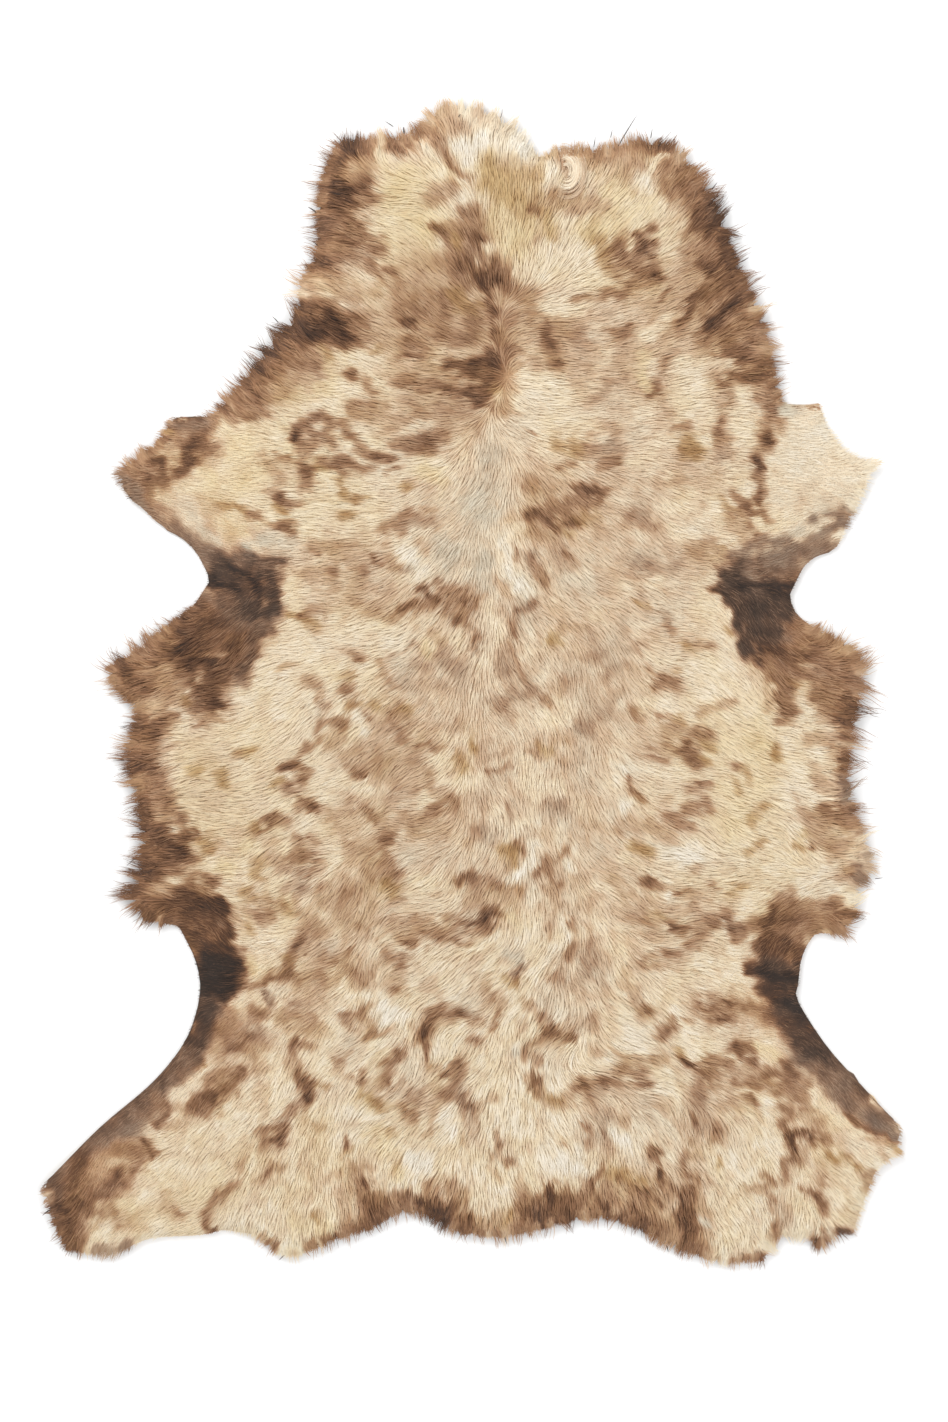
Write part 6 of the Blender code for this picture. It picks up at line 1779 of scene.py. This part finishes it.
# How far the rim's strands reach past the edge: furthest in the middle of a lock
def rimReach(x, y, tufts, tuft):
    count = len(x)
    middleX, middleY = tufts["x"][tuft], tufts["y"][tuft]
    hx, hy = readMap(flowX, x, y), readMap(flowY, x, y)
    offLine = np.abs((x - middleX) * -hy + (y - middleY) * hx) / (0.5 * tufts["spacing"][tuft])
    pointed = 1 - 0.35 * np.clip(offLine, 0, 1) ** 1.3
    broad = 1 + 0.35 * hills(middleX, middleY, 28, 17, 2)
    thinning = 0.05 + 1.25 * rng.uniform(0, 1, count) ** 2.1
    thin = 1 - woolSettings["thinLoss"] * thinAt(x, y)
    reach = readMap(reachNear, x, y)
    lockReach = reach * tufts["reach"][tuft] * broad * pointed * thinning * thin
    single = rng.uniform(0, 1, count) < woolSettings["longHairs"]
    return np.where(single, reach * rng.uniform(0.8, 2.3, count), lockReach)


# How far to the side each point of a strand lies: a soft wave that the strands of a tuft share
def strandSway(x, y, alongTuft, length, share):
    s = woolSettings
    phase = 3 * math.pi * hills(x, y, 45, 13) + 2 * math.pi * alongTuft / s["waveLength"]
    wave = s["wave"] * np.clip(length / 22, 0.2, 1.2)
    turns = share * length * 2 * math.pi / s["waveLength"]
    sway = wave * (np.sin(phase + turns) - np.sin(phase)) * share ** 0.5
    return sway + rng.normal(0, s["waveUneven"], (len(share), len(x))) * share


# Heights along the strands, from inside the pile up to its surface
def strandHeights(xs, ys, shag, tuftRise, share):
    s = woolSettings
    count = xs.shape[1]
    surface = surfaceHeight(xs, ys)
    lift = np.maximum(readMap(skinLift, xs, ys), 0) + edgeSettings["skinThickness"]
    root = mix(lift[0], surface[0], s["rootLevel"])
    sink = rng.uniform(0.0, 1.0, count) ** 1.5
    height = mix(root[None, :], surface - 0.3, share ** 0.6)
    room = np.clip(surface - lift, 0.3, 6)
    height = height - sink * room * mix(0.06, 0.2, shag) * share
    height = height + tuftRise * (1 + 2 * shag) * share * np.clip(room / 6, 0, 1)
    proud = rng.uniform(0, 1, count) < s["proudHairs"]
    stand = rng.uniform(0.5, 2.0, count) * np.clip(room[-1] / 5, 0, 1)
    height = height + np.where(proud, stand, 0) * share ** 2
    return np.maximum(height, s["lowest"])


# The points of every strand from its root to its tip, as an array of station, strand and x y z
def growStrands(x, y, segments, tufts, rimHair):
    count = len(x)
    s = woolSettings
    tuft = nearestTuft(tufts, x, y)
    middleX, middleY = tufts["x"][tuft], tufts["y"][tuft]
    shag = shagAt(x, y)
    reach = readMap(reachNear, x, y)
    depth = readMap(depthIn, x, y)
    if rimHair:
        length = np.clip(depth, 0, 12) + rimReach(x, y, tufts, tuft) + 2.5
    else:
        length = strandLength(x, y, shag) * rng.uniform(0.72, 1.25, count)
    tuftSwing = tufts["turn"][tuft] * mix(s["tuftTurn"], s["rimTurn"] if rimHair else s["shagTurn"], shag)
    turn = tuftSwing + rng.normal(0, math.radians(s["strandTurn"]), count)
    calm = np.clip(reach / 6, 0.25, 1)
    turn = turn * np.where(depth < 15, calm, 1)
    # no strand hangs further past the edge than its stretch of edge lets it, and few hang as far
    hang = rng.uniform(0.9, 2.3, count) if rimHair else 0.65 * rng.uniform(0, 1, count) ** 1.6
    allowed = reach * hang + 0.6
    for _ in range(3):
        xs, ys = followFlow(x, y, length, turn, segments)
        past = np.maximum(-readMap(depthIn, xs[-1], ys[-1]) - allowed, 0)
        length = np.maximum(length - past * 1.1, 3.0)
    xs, ys = followFlow(x, y, length, turn, segments)
    # tips are drawn towards the middle line of their tuft
    cx, cy = followFlow(middleX, middleY, length, tuftSwing, segments)
    share = (np.arange(segments + 1) / segments)[:, None]
    bare = np.clip(reach / 5, 0, 1)
    pull = mix(s["tuftPull"], s["shagPull"], shag) * rng.uniform(0.6, 1.3, count)
    pull = pull * np.where(depth < 12, bare, 1)
    if rimHair:
        pull = pull * s["rimPull"]
    pulled = pull[None, :] * share ** 1.2
    tooFar = np.hypot(cx[0] - x, cy[0] - y) > s["pullWithin"]
    pulled = np.where(tooFar[None, :], 0, pulled)
    xs = mix(xs, cx, pulled)
    ys = mix(ys, cy, pulled)
    hx, hy = xs[-1] - xs[0], ys[-1] - ys[0]
    norm = np.hypot(hx, hy) + 1e-6
    sideX, sideY = -hy / norm, hx / norm
    alongTuft = ((x - middleX) * hx + (y - middleY) * hy) / norm
    sway = strandSway(x, y, alongTuft, length, share)
    xs = xs + sideX * sway
    ys = ys + sideY * sway
    height = strandHeights(xs, ys, shag, tufts["rise"][tuft], share)
    return tuft, length, np.stack([xs, ys, height], axis=2)


# How wide a ribbon is from its root on, as shares of its width, for each number of segments
ribbonProfiles = {
    3: (0.8, 1.0, 0.7),
    4: (0.75, 1.0, 0.85, 0.6),
    5: (0.75, 1.0, 0.85, 0.6, 0.35),
}


# One mesh of flat ribbons, each with a pointed tip and its tone chart
def makeRibbons(name, strands, width, tone):
    dark, warm = tone
    stations, count = strands.shape[:2]
    segments = stations - 1
    run = np.empty_like(strands)
    run[1:-1] = strands[2:] - strands[:-2]
    run[0] = strands[1] - strands[0]
    run[-1] = strands[-1] - strands[-2]
    run /= np.linalg.norm(run, axis=2)[:, :, None] + 1e-9
    side = np.stack([-run[:, :, 1], run[:, :, 0], np.zeros(run.shape[:2])], axis=2)
    side /= np.linalg.norm(side, axis=2)[:, :, None] + 1e-9
    up = np.cross(run, side)
    roll = rng.normal(0, math.radians(woolSettings["roll"]), count)[None, :, None]
    across = side * np.cos(roll) + up * np.sin(roll)
    half = width[None, :] * 0.5 * np.array(ribbonProfiles[segments])[:, None]
    left = strands[:-1] - across[:-1] * half[:, :, None]
    right = strands[:-1] + across[:-1] * half[:, :, None]
    perStrand = 2 * segments + 1
    verts = np.empty((count, perStrand, 3))
    verts[:, 0:2 * segments:2] = left.transpose(1, 0, 2)
    verts[:, 1:2 * segments:2] = right.transpose(1, 0, 2)
    verts[:, -1] = strands[-1]
    verts[:, :, 2] = np.maximum(verts[:, :, 2], 0.2)
    # squares up a strand, then the triangle of its tip
    pattern = [2 * k + corner for k in range(segments - 1) for corner in (0, 1, 3, 2)]
    pattern += [2 * segments - 2, 2 * segments - 1, 2 * segments]
    base = np.arange(count)[:, None]
    corners = (np.array(pattern)[None, :] + base * perStrand).ravel()
    loopStarts = (4 * np.arange(segments)[None, :] + base * len(pattern)).ravel()
    mesh = bpy.data.meshes.new(name)
    mesh.vertices.add(count * perStrand)
    mesh.vertices.foreach_set("co", (verts * mm).astype(np.float32).ravel())
    mesh.loops.add(len(corners))
    mesh.loops.foreach_set("vertex_index", corners.astype(np.int32))
    mesh.polygons.add(len(loopStarts))
    mesh.polygons.foreach_set("loop_start", loopStarts.astype(np.int32))
    mesh.update(calc_edges=True)
    mesh.validate()
    # how far up the strand each point is, and on which side of it
    share = np.append(np.repeat(np.arange(segments) / segments, 2), 1.0)[None, :]
    edgeSide = np.array([-1.0, 1.0] * segments + [0.0])[None, :]
    bothDark = np.concatenate([np.repeat(dark[:-1], 2, axis=0), dark[-1:]]).T
    bothWarm = np.concatenate([np.repeat(warm[:-1], 2, axis=0), warm[-1:]]).T
    # painted shade darkens each strand towards its root, and its tip is painted a little lighter
    u = bothDark + woolSettings["rootShade"] * (1 - share) ** 1.5 - 0.015 * share
    v = bothWarm + 0.006 * edgeSide
    uv = np.stack([np.clip(u, 0.003, 0.997), np.clip(v, 0.01, 0.99)], axis=2).reshape(-1, 2)
    addUvMap(mesh, "OFBake", uv)
    mesh.shade_smooth()
    mesh.materials.append(woolMaterial)
    piece = bpy.data.objects.new(name, mesh)
    bpy.context.scene.collection.objects.link(piece)
    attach(piece, "root")
    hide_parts("sheepskin")
    return piece


# Each strand has a tone of its own, and takes on part of the tone of the places that it crosses
def strandTones(strands, tufts, tuft):
    stations, count = strands.shape[:2]
    at = woolSettings["toneAt"] * (stations - 1)
    low = int(at)
    place = mix(strands[low], strands[low + 1], at - low)
    inset = woolSettings["toneInset"]
    ownDark, ownWarm = toneInside(place[:, 0], place[:, 1], inset)
    placeDark, placeWarm = toneInside(strands[:, :, 0].ravel(), strands[:, :, 1].ravel(), inset)
    d = mix(ownDark[None, :], placeDark.reshape(stations, count), woolSettings["toneOfPlace"])
    w = mix(ownWarm[None, :], placeWarm.reshape(stations, count), woolSettings["toneOfPlace"])
    # single hairs show more where the wool is dark
    uneven = woolSettings["strandTone"] * mix(1, woolSettings["darkUneven"], smoothStep(d, 0.45, 0.8))
    d = d + rng.normal(0, 1, count)[None, :] * uneven + tufts["tone"][tuft][None, :]
    w = w + rng.normal(0, 0.04, count)[None, :]
    return np.clip(d, 0, 1), np.clip(w, 0, 1)


print("wool strands")
x, y = evenScatter(woolSettings["strands"])
tuft, length, strands = growStrands(x, y, 3, bodyTufts, False)
dark, warm = strandTones(strands, bodyTufts, tuft)
width = woolSettings["width"] * rng.uniform(0.7, 1.3, len(x)) * np.clip(length / 20, 0.6, 1.1)
order = np.argsort(-y)
woolNames = ("woolNeck", "woolShoulders", "woolBack", "woolLoin", "woolRump")
for name, part in zip(woolNames, np.array_split(order, len(woolNames))):
    tone = dark[:, part], warm[:, part]
    makeRibbons(name, strands[:, part], width[part], tone)
    print("  ", name, len(part))

print("rim strands")
x, y = scatterAtRim(woolSettings["rimStrands"])
tuft, length, strands = growStrands(x, y, 4, rimTufts, True)
dark, warm = strandTones(strands, rimTufts, tuft)
width = woolSettings["rimWidth"] * rng.uniform(0.6, 1.2, len(x))
makeRibbons("woolRim", strands, width, (dark, warm))
print("  woolRim", len(x))

# Single dark hairs past the edge, in the photograph's pixels: root, middle and tip, then width in mm
strayHairs = (
    (617, 148, 628, 127, 639, 111, 1.0), (594, 146, 595, 140, 596, 134, 0.7),
    (611, 136, 612, 131, 613, 127, 0.7), (683, 152, 684, 149, 685, 146, 1.0),
    (651, 137, 652, 132, 653, 126, 0.8), (712, 189, 715, 185, 718, 181, 0.9),
    (316, 212, 312, 208, 307, 206, 1.3), (404, 133, 404, 129, 403, 125, 1.6),
    (393, 125, 388, 121, 384, 119, 0.8), (310, 268, 307, 266, 304, 263, 0.9),
    (319, 247, 315, 242, 311, 240, 0.8), (278, 322, 275, 318, 271, 315, 0.9),
    (265, 353, 263, 348, 260, 344, 0.9), (132, 497, 129, 497, 125, 499, 0.8),
    (137, 834, 134, 835, 130, 837, 0.8), (136, 858, 131, 861, 125, 867, 0.8),
    (124, 760, 117, 760, 111, 760, 0.7), (125, 727, 122, 727, 119, 727, 0.7),
    (876, 879, 880, 879, 885, 878, 0.7), (50, 1210, 45, 1213, 41, 1217, 1.2),
    (667, 1246, 668, 1250, 669, 1254, 1.0), (503, 1232, 505, 1239, 507, 1246, 1.3),
    (284, 1256, 281, 1259, 278, 1262, 0.8), (553, 150, 550, 158, 556, 165, 0.6),
    (458, 118, 462, 112, 466, 108, 0.7), (500, 118, 503, 112, 502, 106, 0.6),
    (740, 262, 745, 260, 750, 256, 0.8),
)


def makeStrayHairs():
    table = np.array(strayHairs)
    t = np.linspace(0, 1, 5)[:, None]
    px = (1 - t) ** 2 * table[:, 0] + 2 * t * (1 - t) * table[:, 2] + t ** 2 * table[:, 4]
    py = (1 - t) ** 2 * table[:, 1] + 2 * t * (1 - t) * table[:, 3] + t ** 2 * table[:, 5]
    x, y = fromPhoto(px, py)
    height = np.maximum(surfaceHeight(x, y), 1.2) + 0.4 + 0.6 * t
    tone = np.full(x.shape, tones["black"][0]), np.full(x.shape, tones["black"][1])
    return makeRibbons("strayHairs", np.stack([x, y, height], axis=2), table[:, 6], tone)


print("stray hairs")
makeStrayHairs()

# The pale open curl at the neck's end, wound round a middle given in the photograph's pixels
curlSettings = {
    "middleX": 565,
    "middleY": 172,
    "halfWidth": 16.0,  # pixels
    "halfHeight": 22.0,
    "strands": 260,
    "firstStart": -115.0,  # degrees clockwise from the right, where strands start
    "lastStart": 45.0,
    "shortestArc": 45.0,
    "longestArc": 110.0,
    "windingIn": 0.1,
    "width": 0.55,  # mm
    "rise": 0.3,
    "paleTone": 0.19,
    "shadedTone": 0.34,
    "unevenTone": 0.06,
    "warmth": 0.42,
}


def makeNeckCurl():
    s = curlSettings
    count = s["strands"]
    ring = np.clip(rng.normal(0.8, 0.28, count), 0.3, 1.4)
    start = np.radians(rng.uniform(s["firstStart"], s["lastStart"], count))
    arc = np.radians(rng.uniform(s["shortestArc"], s["longestArc"], count))
    t = np.linspace(0, 1, 6)[:, None]
    angle = start + arc * t
    ring = ring * (1 - s["windingIn"] * t) + rng.normal(0, 0.03, count)
    px = s["middleX"] + s["halfWidth"] * ring * np.cos(angle)
    py = s["middleY"] + s["halfHeight"] * ring * np.sin(angle)
    x, y = fromPhoto(px, py)
    height = surfaceHeight(x, y) + s["rise"] * np.sin(math.pi * t)
    # shaded along its outer border
    dark = mix(s["paleTone"], s["shadedTone"], smoothStep(ring, 0.75, 1.15))
    dark = dark + rng.normal(0, s["unevenTone"], count)
    warm = s["warmth"] + rng.normal(0, 0.04, count) + np.zeros_like(dark)
    width = s["width"] * rng.uniform(0.7, 1.3, count)
    strands = np.stack([x, y, height], axis=2)
    return makeRibbons("neckCurl", strands, width, (np.clip(dark, 0, 1), warm))


print("neck curl")
makeNeckCurl()

# Floor, lights and camera
stageSettings = {
    "lens": 85.0,
    "sensor": 36.0,
    "photoLevel": 0.012,  # m over the floor, where the photograph's scale holds
    "floorSize": 12,
    "floorLevel": -0.0006,
    "floorColour": (0.93, 0.93, 0.93, 1),
    "worldStrength": 0.95,
    "keyPower": 46.0,
    "fillPower": 14.0,
}


def makeStage():
    nothingSelected()
    place = (0, 0, stageSettings["floorLevel"])
    bpy.ops.mesh.primitive_plane_add(size=stageSettings["floorSize"], location=place)
    floor = bpy.context.object
    floor.name = "floor"
    material, _, shader = newMaterial("paleFloor")
    shader.inputs["Base Color"].default_value = stageSettings["floorColour"]
    shader.inputs["Roughness"].default_value = 0.9
    shader.inputs["Specular IOR Level"].default_value = 0.1
    floor.data.materials.append(material)

    world = bpy.data.worlds.new("studio")
    bpy.context.scene.world = world
    world.use_nodes = True
    background = world.node_tree.nodes["Background"]
    background.inputs["Color"].default_value = (1, 1, 1, 1)
    background.inputs["Strength"].default_value = stageSettings["worldStrength"]


def addSoftbox(name, place, size, power):
    light = bpy.data.lights.new(name, "AREA")
    light.shape = "SQUARE"
    light.size = size
    light.energy = power
    lamp = bpy.data.objects.new(name, light)
    bpy.context.scene.collection.objects.link(lamp)
    lamp.location = place
    lamp.rotation_euler = (-Vector(place)).to_track_quat("-Z", "Y").to_euler()


def addCamera():
    x, y = fromPhoto(photo["width"] / 2, photo["height"] / 2)
    frameHeight = photo["height"] * photo["pixelSize"] * mm
    distance = frameHeight / 2 * stageSettings["lens"] / (stageSettings["sensor"] / 2)
    camera = bpy.data.cameras.new("photoCamera")
    camera.sensor_fit = "VERTICAL"
    camera.sensor_height = stageSettings["sensor"]
    camera.lens = stageSettings["lens"]
    holder = bpy.data.objects.new("photoCamera", camera)
    bpy.context.scene.collection.objects.link(holder)
    holder.location = (x * mm, y * mm, stageSettings["photoLevel"] + distance)
    bpy.context.scene.camera = holder


print("stage")
makeStage()
addSoftbox("keyLight", (-1.5, 1.9, 2.2), 1.6, stageSettings["keyPower"])
addSoftbox("fillLight", (1.8, -0.6, 2.4), 2.2, stageSettings["fillPower"])
addCamera()
bpy.context.scene.view_settings.view_transform = "Standard"

print("done")
